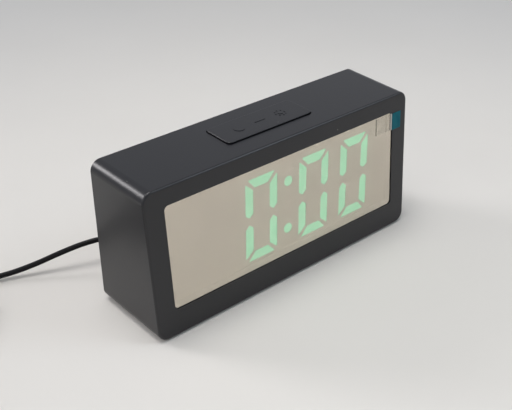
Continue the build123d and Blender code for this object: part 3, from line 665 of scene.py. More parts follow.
@dataclass(frozen=True)
class GlowFinish:
    """A diffuser that is lit from behind, a little uneven over its length."""

    name: str
    body: Colour
    glow: Colour
    dim: Colour
    strength: float = 1.0
    shade: float = 0.7
    pool_scale: float = 130.0
    roughness: float = 0.6

    def make(self) -> bpy.types.Material:
        """Builds the material.

        Returns:
            The new material.
        """
        material, sheet, shader = new_finish(self.name)
        pools = sheet.noise(sheet.object_place(), self.pool_scale, detail=2.0)
        share = sheet.window(pools, *PATCH_EDGE)
        sheet.feed(shader.inputs["Emission Color"], sheet.blend(share, self.dim, self.glow))
        shader.inputs["Emission Strength"].default_value = self.strength
        shaded = tuple(self.shade * part for part in self.body)
        sheet.feed(shader.inputs["Base Color"], sheet.blend(share, shaded, self.body))
        shader.inputs["Roughness"].default_value = self.roughness
        return material


@dataclass(frozen=True)
class BoardFinish:
    """A printed board: solder mask over a weave, with rows of tracks."""

    name: str
    mask: Colour
    track: Colour
    roughness: float = 0.35
    spread: float = 0.1
    shade: float = 0.6
    mottle: float = 0.5
    mottle_scale: float = 80.0
    grain_scale: float = 2500.0
    track_scale: float = 260.0
    track_edge: Spot = (0.62, 0.66)
    track_share: float = 0.5
    track_depth: float = 0.02 * MM

    def make(self) -> bpy.types.Material:
        """Builds the material.

        Returns:
            The new material.
        """
        material, sheet, shader = new_finish(self.name)
        grain = sheet.place(
            EFFECTS.moulded_grain,
            Colour=self.mask,
            Shade=tuple(self.shade * part for part in self.mask),
            Mottle=self.mottle,
            Mottle_Scale=self.mottle_scale,
            Grain_Scale=self.grain_scale,
            Roughness=self.roughness,
            Spread=self.spread,
        )
        place = sheet.object_place()
        tracks = sheet.add("ShaderNodeTexVoronoi", Vector=place, Scale=self.track_scale)
        tracks.distance = "CHEBYCHEV"
        tracks.feature = "F2"
        lines = sheet.window(tracks.outputs["Distance"], *self.track_edge)
        share = sheet.math("MULTIPLY", lines, self.track_share)
        colour = sheet.blend(share, grain.outputs["Colour"], self.track)
        sheet.feed(shader.inputs["Base Color"], colour)
        sheet.feed(shader.inputs["Roughness"], grain.outputs["Roughness"])
        raise_grain(sheet, shader, lines, self.track_depth)
        return material


@dataclass(frozen=True)
class WovenFinish:
    """A narrow woven strap with slanting ribs."""

    name: str
    colour: Colour
    thread: Colour
    roughness: float = 0.85
    spread: float = 0.1
    mottle: float = 0.7
    mottle_scale: float = 700.0
    grain_scale: float = 2400.0
    rib_scale: float = 318.4713
    rib_depth: float = 0.1 * MM

    def make(self) -> bpy.types.Material:
        """Builds the material.

        Returns:
            The new material.
        """
        material, sheet, shader = new_finish(self.name)
        grain = sheet.place(
            EFFECTS.moulded_grain,
            Colour=self.colour,
            Shade=self.thread,
            Mottle=self.mottle,
            Mottle_Scale=self.mottle_scale,
            Grain_Scale=self.grain_scale,
            Roughness=self.roughness,
            Spread=self.spread,
        )
        place = sheet.object_place()
        ribs = sheet.add("ShaderNodeTexWave", Vector=place, Scale=self.rib_scale)
        ribs.bands_direction = "DIAGONAL"
        colour = sheet.blend(ribs.outputs["Fac"], grain.outputs["Colour"], self.thread)
        sheet.feed(shader.inputs["Base Color"], colour)
        sheet.feed(shader.inputs["Roughness"], grain.outputs["Roughness"])
        raise_grain(sheet, shader, ribs.outputs["Fac"], self.rib_depth)
        return material


def seen_rays(sheet: ShaderSheet) -> bpy.types.NodeSocket:
    """The mask of rays that show a background as it is seen, direct, mirrored or through glass.

    Args:
        sheet: The sheet to add to.

    Returns:
        The mask's socket.
    """
    path = sheet.add("ShaderNodeLightPath").outputs
    mirrored = sheet.math("ADD", path["Is Glossy Ray"], path["Is Transmission Ray"])
    return sheet.math("ADD", path["Is Camera Ray"], mirrored, clamp=True)


def join_shaders(
    sheet: ShaderSheet, share: object, first: object, second: object
) -> bpy.types.NodeSocket:
    """Mixes two shaders.

    Args:
        sheet: The sheet to add to.
        share: How much of the second shader shows.
        first: The first shader's socket.
        second: The second shader's socket.

    Returns:
        The mixed shader's socket.
    """
    node = sheet.add("ShaderNodeMixShader")
    for socket, value in zip(node.inputs, (share, first, second)):
        sheet.feed(socket, value)
    return node.outputs[0]


@dataclass(frozen=True)
class TableFinish:
    """A pale sheet that runs into the backdrop's colour far from the clock."""

    plain: MouldedFinish
    backdrop: Colour
    near: float = 0.18
    far: float = 0.9

    def make(self) -> bpy.types.Material:
        """Builds the material.

        Returns:
            The new material.
        """
        material = self.plain.make()
        sheet = ShaderSheet(material.node_tree)
        away = sheet.add("ShaderNodeVectorMath")
        away.operation = "LENGTH"
        sheet.feed(away.inputs[0], sheet.object_place())
        distant = sheet.window(away.outputs["Value"], self.near, self.far)
        share = sheet.math("MULTIPLY", distant, seen_rays(sheet))
        shown = sheet.add("ShaderNodeEmission", Color=self.backdrop)
        surface = material.node_tree.nodes["Material Output"].inputs["Surface"]
        near_by = surface.links[0].from_socket
        sheet.feed(surface, join_shaders(sheet, share, near_by, shown.outputs[0]))
        return material


def dress(material: bpy.types.Material, *nodes: str) -> None:
    """Puts a finish on CAD nodes.

    Args:
        material: The finish.
        *nodes: The nodes' names.
    """
    for name in nodes:
        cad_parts[name].material_slots[0].material = material
        log.info("dressed %s in %s", name, material.name)


def put_in_scene(name: str, data: bpy.types.ID) -> bpy.types.Object:
    """Adds an object to the scene.

    Args:
        name: The object's name.
        data: Its mesh, curve, light or camera.

    Returns:
        The new object.
    """
    made = bpy.data.objects.new(name, data)
    bpy.context.scene.collection.objects.link(made)
    return made


def add_piece(
    name: str, mesh: bmesh.types.BMesh, finishes: list[bpy.types.Material], body: Body
) -> bpy.types.Object:
    """Turns a bmesh into a piece that rides on a body.

    Args:
        name: The piece's name.
        mesh: The finished bmesh, which is freed.
        finishes: Its materials, in slot order.
        body: The CAD body that it moves with.

    Returns:
        The new object.
    """
    bmesh.ops.recalc_face_normals(mesh, faces=mesh.faces)
    data = bpy.data.meshes.new(name)
    mesh.to_mesh(data)
    mesh.free()
    for material in finishes:
        data.materials.append(material)
    piece = put_in_scene(name, data)
    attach(piece, body.value)
    log.info("built %s on %s", name, body.value)
    return piece


def ring_spots(radius: float, count: int, start: float = 0.0) -> list[Spot]:
    """Points around a circle.

    Args:
        radius: The circle's radius.
        count: How many points.
        start: The first point's angle, in degrees.

    Returns:
        The points as pairs.
    """
    step = 2 * math.pi / count
    turn = math.radians(start)
    angles = [turn + step * i for i in range(count)]
    return [(radius * math.cos(angle), radius * math.sin(angle)) for angle in angles]


def bridge(
    mesh: bmesh.types.BMesh, low: list[bmesh.types.BMVert], high: list[bmesh.types.BMVert]
) -> list[bmesh.types.BMFace]:
    """Joins two closed rows of points.

    Args:
        mesh: The bmesh to add to.
        low: The first row.
        high: The second row, with as many points.

    Returns:
        The faces between them, in order.
    """
    corners = zip(low, low[1:] + low[:1], high[1:] + high[:1], high)
    return [mesh.faces.new(four) for four in corners]


def raise_outline(
    mesh: bmesh.types.BMesh, outline: list[Spot], at: Matrix, height: float, soft: float
) -> None:
    """Adds a raised mark with a softened top edge.

    Args:
        mesh: The bmesh to add to.
        outline: The mark's outline, about its own middle.
        at: The matrix that places it, with its height along local Z.
        height: How far it stands up.
        soft: How far the top edge is drawn in.
    """
    widest = max(math.hypot(u, v) for u, v in outline)
    shrink = 1 - soft / widest
    rings = []
    for share, lift in ((1.0, 0.0), (1.0, height - soft), (shrink, height)):
        spots = [Vector((u * share, v * share, lift)) for u, v in outline]
        rings.append([mesh.verts.new(at @ spot) for spot in spots])
    for low, high in zip(rings, rings[1:]):
        bridge(mesh, low, high)
    mesh.faces.new(rings[-1])
    mesh.faces.new(list(reversed(rings[0])))


def raise_ring(
    mesh: bmesh.types.BMesh, radii: Spot, at: Matrix, height: float, soft: float
) -> None:
    """Adds a raised ring with softened top edges.

    Args:
        mesh: The bmesh to add to.
        radii: Its outer and its inner radius.
        at: The matrix that places it, with its height along local Z.
        height: How far it stands up.
        soft: How far the top edges are drawn in.
    """
    outer, inner = radii
    profile = [
        (outer, 0.0),
        (outer, height - soft),
        (outer - soft, height),
        (inner + soft, height),
        (inner, height - soft),
        (inner, 0.0),
    ]
    loops = [
        [mesh.verts.new(at @ Vector((u, v, lift))) for u, v in ring_spots(radius, RING_POINTS)]
        for radius, lift in profile
    ]
    for low, high in zip(loops, loops[1:] + loops[:1]):
        bridge(mesh, low, high)


@dataclass(frozen=True)
class FacePlane:
    """The clock's leaning front: x across it, s up it from the table and depth behind it."""

    foot_y: float = -20.65 * MM
    lean: float = math.radians(4.74)

    def point(self, x: float, s: float, depth: float) -> Vector:
        """The point in the model's frame."""
        up, back = math.cos(self.lean), math.sin(self.lean)
        return Vector((x, self.foot_y + s * back + depth * up, s * up - depth * back))

    def reading(self, point: Vector) -> Place:
        """The x, s and depth of a point in the model's frame.

        Args:
            point: The point.

        Returns:
            Its x, s and depth.
        """
        up, back = math.cos(self.lean), math.sin(self.lean)
        y = point.y - self.foot_y
        return point.x, y * back + point.z * up, y * up - point.z * back

    def outlines(self, node: str, depth: float) -> list[list[Spot]]:
        """The closed outlines of a CAD node's faces that lie at a depth.

        Args:
            node: The node's name.
            depth: The depth behind the face.

        Returns:
            One list of x and s pairs for each outline, anticlockwise as the face is seen.
        """
        mesh = bmesh.new()
        mesh.from_mesh(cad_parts[node].data)
        mesh.transform(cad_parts[node].matrix_world)
        bmesh.ops.remove_doubles(mesh, verts=mesh.verts, dist=WELD)
        level = {
            face
            for face in mesh.faces
            if all(abs(self.reading(v.co)[2] - depth) < LEVEL for v in face.verts)
        }
        after: dict[int, int] = {}
        spots: dict[int, Spot] = {}
        for face in level:
            for loop in face.loops:
                others = [f for f in loop.edge.link_faces if f is not face and f in level]
                if not others:
                    after[loop.vert.index] = loop.link_loop_next.vert.index
                    spots[loop.vert.index] = self.reading(loop.vert.co)[:2]
        mesh.free()
        found = []
        while after:
            first, following = after.popitem()
            outline = [spots[first]]
            while following != first:
                outline.append(spots[following])
                following = after.pop(following)
            ahead = outline[1:] + outline[:1]
            turns = sum(a[0] * b[1] - a[1] * b[0] for a, b in zip(outline, ahead))
            found.append(outline if turns > 0 else outline[::-1])
        return found


@dataclass
class MirrorWindow:
    """The window: a lens with a half-mirror coat on its front, under film with a pull tab."""

    face: FacePlane
    lens_front: float = 0.47 * MM
    lens_inset: float = 0.12 * MM
    backing_inset: float = 2.2 * MM
    lens_rear: float = 2.0 * MM
    bars_front: float = 2.1 * MM
    coat: HalfMirrorFinish = HalfMirrorFinish(
        "half_mirror_coat", (0.985, 0.893, 0.76), (0.955, 0.863, 0.73), cover=0.57
    )
    backing: MouldedFinish = MouldedFinish(
        "lens_backing", (0.44, 0.41, 0.36), (0.41, 0.382, 0.335), roughness=0.8, specular=0.1
    )
    pane: ClearFinish = ClearFinish("lens_pane", (0.9, 0.9, 0.9), haze=0.01, smears=0.02)
    film: ClearFinish = ClearFinish(
        "film_clear", (0.85, 0.84, 0.8), haze=0.012, smears=0.04, specks=0.16
    )
    tape: TapeFinish = TapeFinish(
        "tab_tape_clear",
        (0.8, 0.77, 0.64),
        # colour of the dark lines; along the crease it is painted shade
        (0.08, 0.075, 0.06),
        (0.62, 0.59, 0.56),
        end_x=53.9 * MM,
        crease_x=60.6 * MM,
        pale_x=62.9 * MM,
    )
    tab: TintedFilmFinish = TintedFilmFinish(
        "teal_flap",
        (0.001, 0.139, 0.182),
        (0.001, 0.078, 0.122),
        (0.62, 0.59, 0.56),
        root_x=64.0 * MM,
    )
    foam: MouldedFinish = MouldedFinish("foam_tape", (0.012, 0.012, 0.012), (0.02, 0.02, 0.02), 0.9)

    def build(self) -> None:
        """Builds the lens and dresses what lies over and under it."""
        self._lens()
        dress(self.foam.make(), "lens_tape")
        dress(self.film.make(), "protective_film")
        dress(self.tape.make(), "tab_tape")
        dress(self.tab.make(), "film_pull_tab")

    def _drawn_in(self, outline: list[Spot], inset: float) -> list[Spot]:
        """An outline drawn in all round.

        Args:
            outline: The outline.
            inset: How far its sides move in.

        Returns:
            The smaller outline.
        """
        middle = [(min(axis) + max(axis)) / 2 for axis in zip(*outline)]
        share = [1 - 2 * inset / (max(axis) - min(axis)) for axis in zip(*outline)]
        return [tuple(m + (c - m) * k for c, m, k in zip(spot, middle, share)) for spot in outline]

    def _lens(self) -> None:
        """The lens: its coat, a backing that slopes in from the rim, and panes over the lit bars."""
        outline = self.face.outlines("mirror_lens", self.lens_rear)[0]
        rim = self._drawn_in(outline, self.lens_inset)
        foot = self._drawn_in(outline, self.backing_inset)
        bars = self.face.outlines("lit_segments", self.bars_front)
        flat: list[Vector] = []
        areas: list[list[int]] = []
        for shape in [foot, *bars]:
            areas.append(list(range(len(flat), len(flat) + len(shape))))
            flat.extend(Vector((x / MM, s / MM)) for x, s in shape)
        inside_only, snap = 1, 1e-5
        corners, _, tiles, _, _, sources = delaunay_2d_cdt(flat, [], areas, inside_only, snap)
        mesh = bmesh.new()
        spots = [self.face.point(c.x * MM, c.y * MM, self.lens_rear) for c in corners]
        rear = [mesh.verts.new(spot) for spot in spots]
        for tile, source in zip(tiles, sources):
            patch = mesh.faces.new([rear[i] for i in tile])
            over_bar = max(source) > 0
            patch.material_index = (LensFace.PANE if over_bar else LensFace.BACKING).value
        back = [mesh.verts.new(self.face.point(x, s, self.lens_rear)) for x, s in foot]
        front = [mesh.verts.new(self.face.point(x, s, self.lens_front)) for x, s in rim]
        mesh.faces.new(front).material_index = LensFace.COAT.value
        for side in bridge(mesh, back, front):
            side.material_index = LensFace.BACKING.value
        bmesh.ops.remove_doubles(mesh, verts=mesh.verts, dist=2 * WELD)
        finishes = [part.make() for part in (self.coat, self.backing, self.pane)]
        lens = add_piece("mirror_lens_panel", mesh, finishes, Body.HOUSING)
        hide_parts("mirror_lens")


@dataclass
class Display:
    """The display module behind the lens: bars, reflector, board and what is soldered on it."""

    lit: GlowFinish = GlowFinish(
        "lit_bar", (0.05, 0.09, 0.07), (0.02, 0.75, 0.365), (0.02, 0.69, 0.335), strength=1.0
    )
    unlit: MouldedFinish = MouldedFinish(
        "unlit_bar", (0.03, 0.03, 0.029), (0.02, 0.02, 0.02), 0.6, mottle_scale=120.0
    )
    reflector: MouldedFinish = MouldedFinish(
        "reflector_well", (0.008, 0.008, 0.008), (0.014, 0.014, 0.014), 0.8
    )
    board: BoardFinish = BoardFinish("board_mask", (0.018, 0.11, 0.045), (0.05, 0.2, 0.07))
    led: MouldedFinish = MouldedFinish(
        "led_body", (0.82, 0.79, 0.62), (0.72, 0.68, 0.5), 0.35, grain_scale=3000.0
    )
    chip: MouldedFinish = MouldedFinish(
        "chip_epoxy", (0.016, 0.016, 0.018), (0.024, 0.024, 0.026), 0.65, grain_scale=3200.0
    )
    can: PlatedFinish = PlatedFinish("crystal_can", (0.66, 0.65, 0.62), (0.5, 0.49, 0.47))
    switch: MouldedFinish = MouldedFinish("switch_body", (0.02, 0.02, 0.021), (0.03, 0.03, 0.031))
    screw: PlatedFinish = PlatedFinish("board_screw", (0.5, 0.48, 0.42), (0.36, 0.34, 0.3))

    def build(self) -> None:
        """Dresses the module."""
        dress(self.lit.make(), "lit_segments")
        dress(self.unlit.make(), "unlit_segments")
        dress(self.reflector.make(), "digit_reflector")
        dress(self.board.make(), "display_board", "snooze_board", "key_board")
        dress(self.led.make(), "led_chips")
        dress(self.chip.make(), "driver_chip")
        dress(self.can.make(), "crystal")
        dress(self.switch.make(), "snooze_switch", "key_switches")
        dress(self.screw.make(), "board_screws")


@dataclass
class Housing:
    """The moulded shell, its snooze bar and its feet."""

    shell: MouldedFinish = MouldedFinish(
        "shell_moulding",
        (0.004, 0.004, 0.0068),
        (0.0056, 0.0056, 0.009),
        roughness=0.31,
        spread=0.08,
        grain_scale=1300.0,
        grain_depth=0.006 * MM,
        dust=0.035,
        specular=0.55,
    )
    bar: MouldedFinish = replace(shell, name="snooze_black", roughness=0.33, dust=0.03)
    rubber: MouldedFinish = MouldedFinish(
        "foot_pad", (0.014, 0.014, 0.014), (0.024, 0.024, 0.023), 0.9, grain_depth=0.03 * MM
    )

    def build(self) -> None:
        """Dresses the shell."""
        dress(self.shell.make(), "front_housing")
        dress(self.bar.make(), "snooze_button")
        dress(self.rubber.make(), "rubber_feet")


@dataclass
class RearPanel:
    """The rear cover with its keys, battery door and moulded marks."""

    cover_rear: float = 19.85 * MM
    bay_floor: float = 6.25 * MM
    key_height: float = 50.0 * MM
    key_spots: tuple[float, ...] = (-58.0 * MM, -46.0 * MM, -34.0 * MM, -22.0 * MM)
    mark_rise: float = 6.4 * MM
    mark_height: float = 0.18 * MM
    mark_soft: float = 0.06 * MM
    ring_radii: Spot = (1.35 * MM, 0.85 * MM)
    arrow_radius: float = 1.5 * MM
    sign_arm: float = 1.6 * MM
    sign_half_width: float = 0.4 * MM
    sign_reach: float = 16.0 * MM
    door_mark_offset: float = 6.0 * MM
    door_mark_radius: float = 2.4 * MM
    bay_middle: Spot = (39.5 * MM, 33.0 * MM)
    cell_pitch: float = 10.8 * MM
    cover: MouldedFinish = MouldedFinish(
        "cover_moulding",
        (0.018, 0.018, 0.0195),
        (0.026, 0.026, 0.0275),
        roughness=0.5,
        grain_scale=1100.0,
        grain_depth=0.03 * MM,
        dust=0.03,
    )
    door: MouldedFinish = replace(
        cover,
        name="door_moulding",
        colour=(0.019, 0.019, 0.0205),
        shade=(0.027, 0.027, 0.0285),
        roughness=0.48,
        dust=0.02,
    )
    key: MouldedFinish = MouldedFinish(
        "key_cap", (0.011, 0.011, 0.0125), (0.017, 0.017, 0.0185), 0.34, grain_depth=0.008 * MM
    )
    # painted highlight: the raised marks are coloured lighter than the cover so that they stand out
    # on it
    mark: MouldedFinish = MouldedFinish(
        "painted_highlight_mark", (0.085, 0.085, 0.088), (0.05, 0.05, 0.053), 0.45, mottle_scale=600.0
    )
    buzzer: MouldedFinish = MouldedFinish("buzzer_case", (0.014, 0.014, 0.014), (0.02, 0.02, 0.02))
    screw: PlatedFinish = PlatedFinish("cover_screw", (0.34, 0.34, 0.345), (0.22, 0.22, 0.225))
    contact: PlatedFinish = PlatedFinish(
        "cell_contact", (0.74, 0.72, 0.67), (0.6, 0.58, 0.54), stretch=(1.0, 1.0, 14.0)
    )
    spring: PlatedFinish = PlatedFinish(
        "spring_nickel", (0.7, 0.69, 0.66), (0.52, 0.51, 0.49), stretch=(1.0, 1.0, 1.0), scale=900.0
    )

    def build(self) -> None:
        """Dresses the panel and adds its marks."""
        dress(self.cover.make(), "rear_cover")
        dress(self.door.make(), "battery_door")
        dress(self.key.make(), "mode_key", "alarm_key", "up_key", "down_key")
        dress(self.buzzer.make(), "buzzer")
        dress(self.screw.make(), "cover_screws")
        dress(self.contact.make(), "battery_plates")
        dress(self.spring.make(), "battery_springs")
        mark = self.mark.make()
        self._key_marks(mark)
        self._polarity_marks(mark)
        self._door_mark(mark)

    def _on_wall(self, x: float, y: float, z: float) -> Matrix:
        """A matrix that stands a mark on a wall that faces the rear, read from the rear."""
        axes = Matrix(((-1, 0, 0), (0, 0, 1), (0, 1, 0))).to_4x4()
        return Matrix.Translation((x, y, z)) @ axes

    def _key_marks(self, finish: bpy.types.Material) -> None:
        """Plain raised marks over the keys: a ring, a bell and two arrowheads.

        Args:
            finish: The marks' material.
        """
        left = [(-1.5, -0.9), (-1.1, -0.5), (-1.0, 0.5), (-0.6, 1.1)]
        right = [(-u, v) for u, v in reversed(left)]
        clapper = [(0.5, -0.95), (0.0, -1.4), (-0.5, -0.95)]
        bell = [(u * MM, v * MM) for u, v in [*left, (0.0, 1.35), *right, *clapper]]
        arrows = [ring_spots(self.arrow_radius, 3, start) for start in (90, -90)]
        mesh = bmesh.new()
        z = self.key_height + self.mark_rise
        places = [self._on_wall(x, self.cover_rear, z) for x in self.key_spots]
        raise_ring(mesh, self.ring_radii, places[0], self.mark_height, self.mark_soft)
        for outline, place in zip([bell, *arrows], places[1:]):
            raise_outline(mesh, outline, place, self.mark_height, self.mark_soft)
        add_piece("key_marks", mesh, [finish], Body.HOUSING)

    def _polarity_marks(self, finish: bpy.types.Material) -> None:
        """Plus and minus marks on the floor of the battery bay.

        Args:
            finish: The marks' material.
        """
        arm, half = self.sign_arm, self.sign_half_width
        corner = [(half, half), (arm, half), (arm, -half)]
        plus: list[Spot] = []
        for _ in range(4):
            plus += corner
            corner = [(v, -u) for u, v in corner]
        minus = [(-arm, -half), (arm, -half), (arm, half), (-arm, half)]
        mesh = bmesh.new()
        x, z = self.bay_middle
        for i in (-1, 0, 1):
            side = -1 if i else 1
            for reach, outline in ((self.sign_reach, minus), (-self.sign_reach, plus)):
                place = self._on_wall(x + side * reach, self.bay_floor, z + self.cell_pitch * i)
                raise_outline(mesh, outline, place, self.mark_height, self.mark_soft)
        add_piece("polarity_marks", mesh, [finish], Body.HOUSING)

    def _door_mark(self, finish: bpy.types.Material) -> None:
        """An arrowhead on the battery door that points to its grip grooves.

        Args:
            finish: The mark's material.
        """
        mesh = bmesh.new()
        x, z = self.bay_middle
        place = self._on_wall(x + self.door_mark_offset, self.cover_rear, z)
        arrow = ring_spots(self.door_mark_radius, 3, 180)
        raise_outline(mesh, arrow, place, self.mark_height, self.mark_soft)
        add_piece("door_mark", mesh, [finish], Body.DOOR)


@dataclass
class Wiring:
    """The leads and the flat cable inside the housing."""

    sleeve: MouldedFinish = MouldedFinish(
        "wire_jacket", (0.33, 0.025, 0.02), (0.26, 0.018, 0.015), 0.5, grain_scale=2500.0
    )
    ribbon: PlatedFinish = PlatedFinish(
        "flat_cable", (0.5, 0.5, 0.51), (0.38, 0.38, 0.4), stretch=(14.0, 1.0, 1.0), scale=160.0
    )

    def build(self) -> None:
        """Dresses the wiring."""
        dress(self.sleeve.make(), "power_leads", "snooze_leads")
        dress(self.ribbon.make(), "key_ribbon")


@dataclass
class PowerLead:
    """The loose lead: its free run from the boot, its put-away coil and tie, and its plug."""

    diameter: float = 2.5 * MM
    length: float = 1.0
    exit: Place = (-50.7 * MM, 27.85 * MM, 13.0 * MM)
    steps: tuple[Place, ...] = (
        (0.0, 0.0, 0.0),
        (0.0, 5.55, 0.0),
        (-2.8, 11.95, -0.05),
        (-7.9, 16.75, -0.25),
        (-16.6, 20.05, -1.1),
        (-26.9, 23.95, -3.8),
        (-38.8, 28.75, -8.0),
        (-51.2, 33.65, -10.7),
    )
    coil_middle: Spot = (-141.46 * MM, 51.76 * MM)
    coil_entry: float = 72.0
    coil_turns: float = 9.3
    coil_mean_radius: float = 15.0 * MM
    coil_pitch: float = 3.0 * MM
    coil_low: float = 1.9 * MM
    climb_turns: float = 0.5
    points_per_turn: int = 24
    entry_run: float = 12.2 * MM
    tail_step: float = 8.0 * MM
    plug_height: float = 3.8 * MM
    smoothness: int = 6
    strap_thick: float = 0.5 * MM
    strap_corner: float = 1.2 * MM
    strap_corner_steps: int = 6
    strap_soft: float = 0.12 * MM
    lap_spots: tuple[float, ...] = (2.2 * MM, 6.0 * MM, 10.0 * MM)
    lap_inset: float = 0.2 * MM
    lap_thick: float = 0.45 * MM
    grip_count: int = 5
    grip_start: float = 5.5 * MM
    grip_pitch: float = 2.2 * MM
    grip_half: float = 4.2 * MM
    grip_end: float = 0.45 * MM
    grip_end_points: int = 12
    grip_sunk: float = 0.02 * MM
    grip_height: float = 0.27 * MM
    grip_soft: float = 0.1 * MM
    sleeve: MouldedFinish = MouldedFinish(
        "cord_sleeve",
        (0.0026, 0.0024, 0.003),
        (0.0042, 0.0039, 0.0047),
        roughness=0.42,
        grain_scale=900.0,
        grain_depth=0.01 * MM,
        specular=0.16,
    )
    boot: MouldedFinish = MouldedFinish(
        "boot_rubber", (0.009, 0.0093, 0.01), (0.014, 0.0143, 0.015), roughness=0.5
    )
    strap: WovenFinish = WovenFinish("tie_strap", (0.012, 0.012, 0.013), (0.024, 0.024, 0.026))
    plug: MouldedFinish = MouldedFinish(
        "plug_moulding", (0.011, 0.011, 0.012), (0.017, 0.017, 0.018), roughness=0.5
    )
    shell: PlatedFinish = PlatedFinish("plug_shell", (0.74, 0.73, 0.7), (0.62, 0.61, 0.59), 0.2)
    tongue: MouldedFinish = MouldedFinish(
        "plug_tongue", (0.66, 0.66, 0.63), (0.58, 0.58, 0.56), roughness=0.45
    )
    contact: PlatedFinish = PlatedFinish("plug_contact", (0.82, 0.6, 0.24), (0.68, 0.48, 0.18), 0.22)

    def build(self) -> None:
        """Lays the lead, ties its coil and dresses its plug."""
        plug = self.plug.make()
        dress(self.boot.make(), "cord_grommet")
        dress(plug, "usb_overmould")
        dress(self.shell.make(), "usb_shell")
        dress(self.tongue.make(), "usb_tongue")
        dress(self.contact.make(), "usb_contacts")
        tie = self._tie()
        grips = self._grips(plug)
        cord = self._cord()

    def _around(self, angle: float) -> Vector:
        """The outward direction from the coil's middle at an angle in degrees."""
        return Vector((math.cos(math.radians(angle)), math.sin(math.radians(angle)), 0.0))

    def _coil_point(self, turns: float) -> Vector:
        """The point of the coil after a number of turns.

        Args:
            turns: How many turns of the coil come before it.

        Returns:
            The point.
        """
        half = self.coil_turns / 2
        inner = self.coil_mean_radius - self.coil_pitch * self.coil_turns / 4
        radius = inner + self.coil_pitch * abs(turns - half)
        climb = min(max((turns - half) / self.climb_turns + 0.5, 0.0), 1.0)
        height = self.coil_low + self.coil_pitch * (1 - math.cos(math.pi * climb)) / 2
        out = self._around(self.coil_entry + 360 * turns)
        return Vector((*self.coil_middle, height)) + out * radius

    def route(self) -> list[Vector]:
        """The points that the lead is drawn through, from the boot to the plug.

        Returns:
            The points in order.
        """
        points = [Vector(self.exit) + Vector(step) * MM for step in self.steps]
        entry_way = self._around(self.coil_entry + 90)
        exit_way = self._around(self.coil_entry + 360 * self.coil_turns + 90)
        start = self._coil_point(0.0) - entry_way * self.diameter
        end = self._coil_point(self.coil_turns) + exit_way * self.diameter
        points += [start - entry_way * self.entry_run, start]
        count = round(self.coil_turns * self.points_per_turn)
        points += [self._coil_point(self.coil_turns * i / count) for i in range(count + 1)]
        points += [end, end + exit_way * self.tail_step]
        for step in (2, 3):
            points.append(Vector((end.x, end.y - step * self.tail_step, self.plug_height)))
        return points

    def _cord(self) -> bpy.types.Object:
        """The lead as one smooth spline, in place of its CAD tubes.

        Returns:
            The lead.
        """
        curve = bpy.data.curves.new("power_lead", "CURVE")
        curve.dimensions = "3D"
        points = self.route()
        spline = curve.splines.new("NURBS")
        spline.points.add(len(points) - 1)
        for knot, point in zip(spline.points, points):
            knot.co = (*point, 1.0)
        spline.order_u = 3
        spline.use_endpoint_u = True
        spline.resolution_u = self.smoothness
        curve.bevel_depth = self.diameter / 2
        curve.bevel_resolution = self.smoothness
        curve.use_fill_caps = True
        curve.materials.append(self.sleeve.make())
        cord = put_in_scene("power_lead", curve)
        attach(cord, Body.HOUSING.value)
        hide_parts("power_cord", "cord_coil", "cord_tail")
        log.info("laid power_lead through %d points", len(points))
        return cord

    def _tie(self) -> bpy.types.Object:
        """The strap round the coil: a soft-cornered band whose end laps over its top.

        Returns:
            The strap.
        """
        low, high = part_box("cord_tie")
        thick, corner = self.strap_thick, self.strap_corner
        middle = (low + high) / 2
        half_wide, half_tall = (high.x - low.x) / 2 - corner, (high.z - low.z) / 2 - corner
        loop: list[tuple[Vector, Vector]] = []
        for side, rise, start in ((1, -1, -90), (1, 1, 0), (-1, 1, 90), (-1, -1, 180)):
            pivot = Vector((middle.x + side * half_wide, 0.0, middle.z + rise * half_tall))
            for i in range(self.strap_corner_steps + 1):
                turn = math.radians(start + 90 * i / self.strap_corner_steps)
                out = Vector((math.cos(turn), 0.0, math.sin(turn)))
                loop.append((pivot + out * corner, out))
        up = Vector((0.0, 0.0, 1.0))
        lap = [(Vector((low.x + x, 0.0, high.z + thick)), up) for x in self.lap_spots]
        mesh = bmesh.new()
        self._band(mesh, loop, thick, low.y, high.y, closed=True)
        near, far = low.y + self.lap_inset, high.y - self.lap_inset
        self._band(mesh, lap, self.lap_thick, near, far, closed=False)
        tie = add_piece("cord_tie_strap", mesh, [self.strap.make()], Body.HOUSING)
        soften = tie.modifiers.new("soft_edges", "BEVEL")
        soften.width = self.strap_soft
        soften.segments = 2
        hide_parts("cord_tie")
        return tie

    def _band(
        self,
        mesh: bmesh.types.BMesh,
        loop: list[tuple[Vector, Vector]],
        thick: float,
        near: float,
        far: float,
        closed: bool,
    ) -> None:
        """Adds a flat band along points.

        Args:
            mesh: The bmesh to add to.
            loop: Points on the band's outer face, each with its outward direction.
            thick: The band's thickness.
            near: Its lower y.
            far: Its higher y.
            closed: Whether its last point joins its first.
        """
        rings = []
        for point, out in loop:
            inner = point - out * thick
            ring = [(point, near), (point, far), (inner, far), (inner, near)]
            rings.append([mesh.verts.new(Vector((p.x, y, p.z))) for p, y in ring])
        pairs = list(zip(rings, rings[1:]))
        if closed:
            pairs.append((rings[-1], rings[0]))
        else:
            mesh.faces.new(rings[0])
            mesh.faces.new(list(reversed(rings[-1])))
        for one, two in pairs:
            bridge(mesh, one, two)

    def _grips(self, finish: bpy.types.Material) -> bpy.types.Object:
        """Raised ribs across the plug's upper face, for the fingers.

        Args:
            finish: The plug's material.

        Returns:
            The ribs, as one piece.
        """
        low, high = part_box("usb_overmould")
        shell_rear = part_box("usb_shell")[1].y
        half_ring = self.grip_end_points // 2 + 1
        outline: list[Spot] = []
        for side, start in ((1, -90), (-1, 90)):
            end = ring_spots(self.grip_end, self.grip_end_points, start)[:half_ring]
            outline += [(side * self.grip_half + u, v) for u, v in end]
        mesh = bmesh.new()
        middle_x = (low.x + high.x) / 2
        for i in range(self.grip_count):
            y = shell_rear + self.grip_start + self.grip_pitch * i
            above = Matrix.Translation((middle_x, y, high.z - self.grip_sunk))
            raise_outline(mesh, outline, above, self.grip_height, self.grip_soft)
        return add_piece("plug_grips", mesh, [finish], Body.HOUSING)


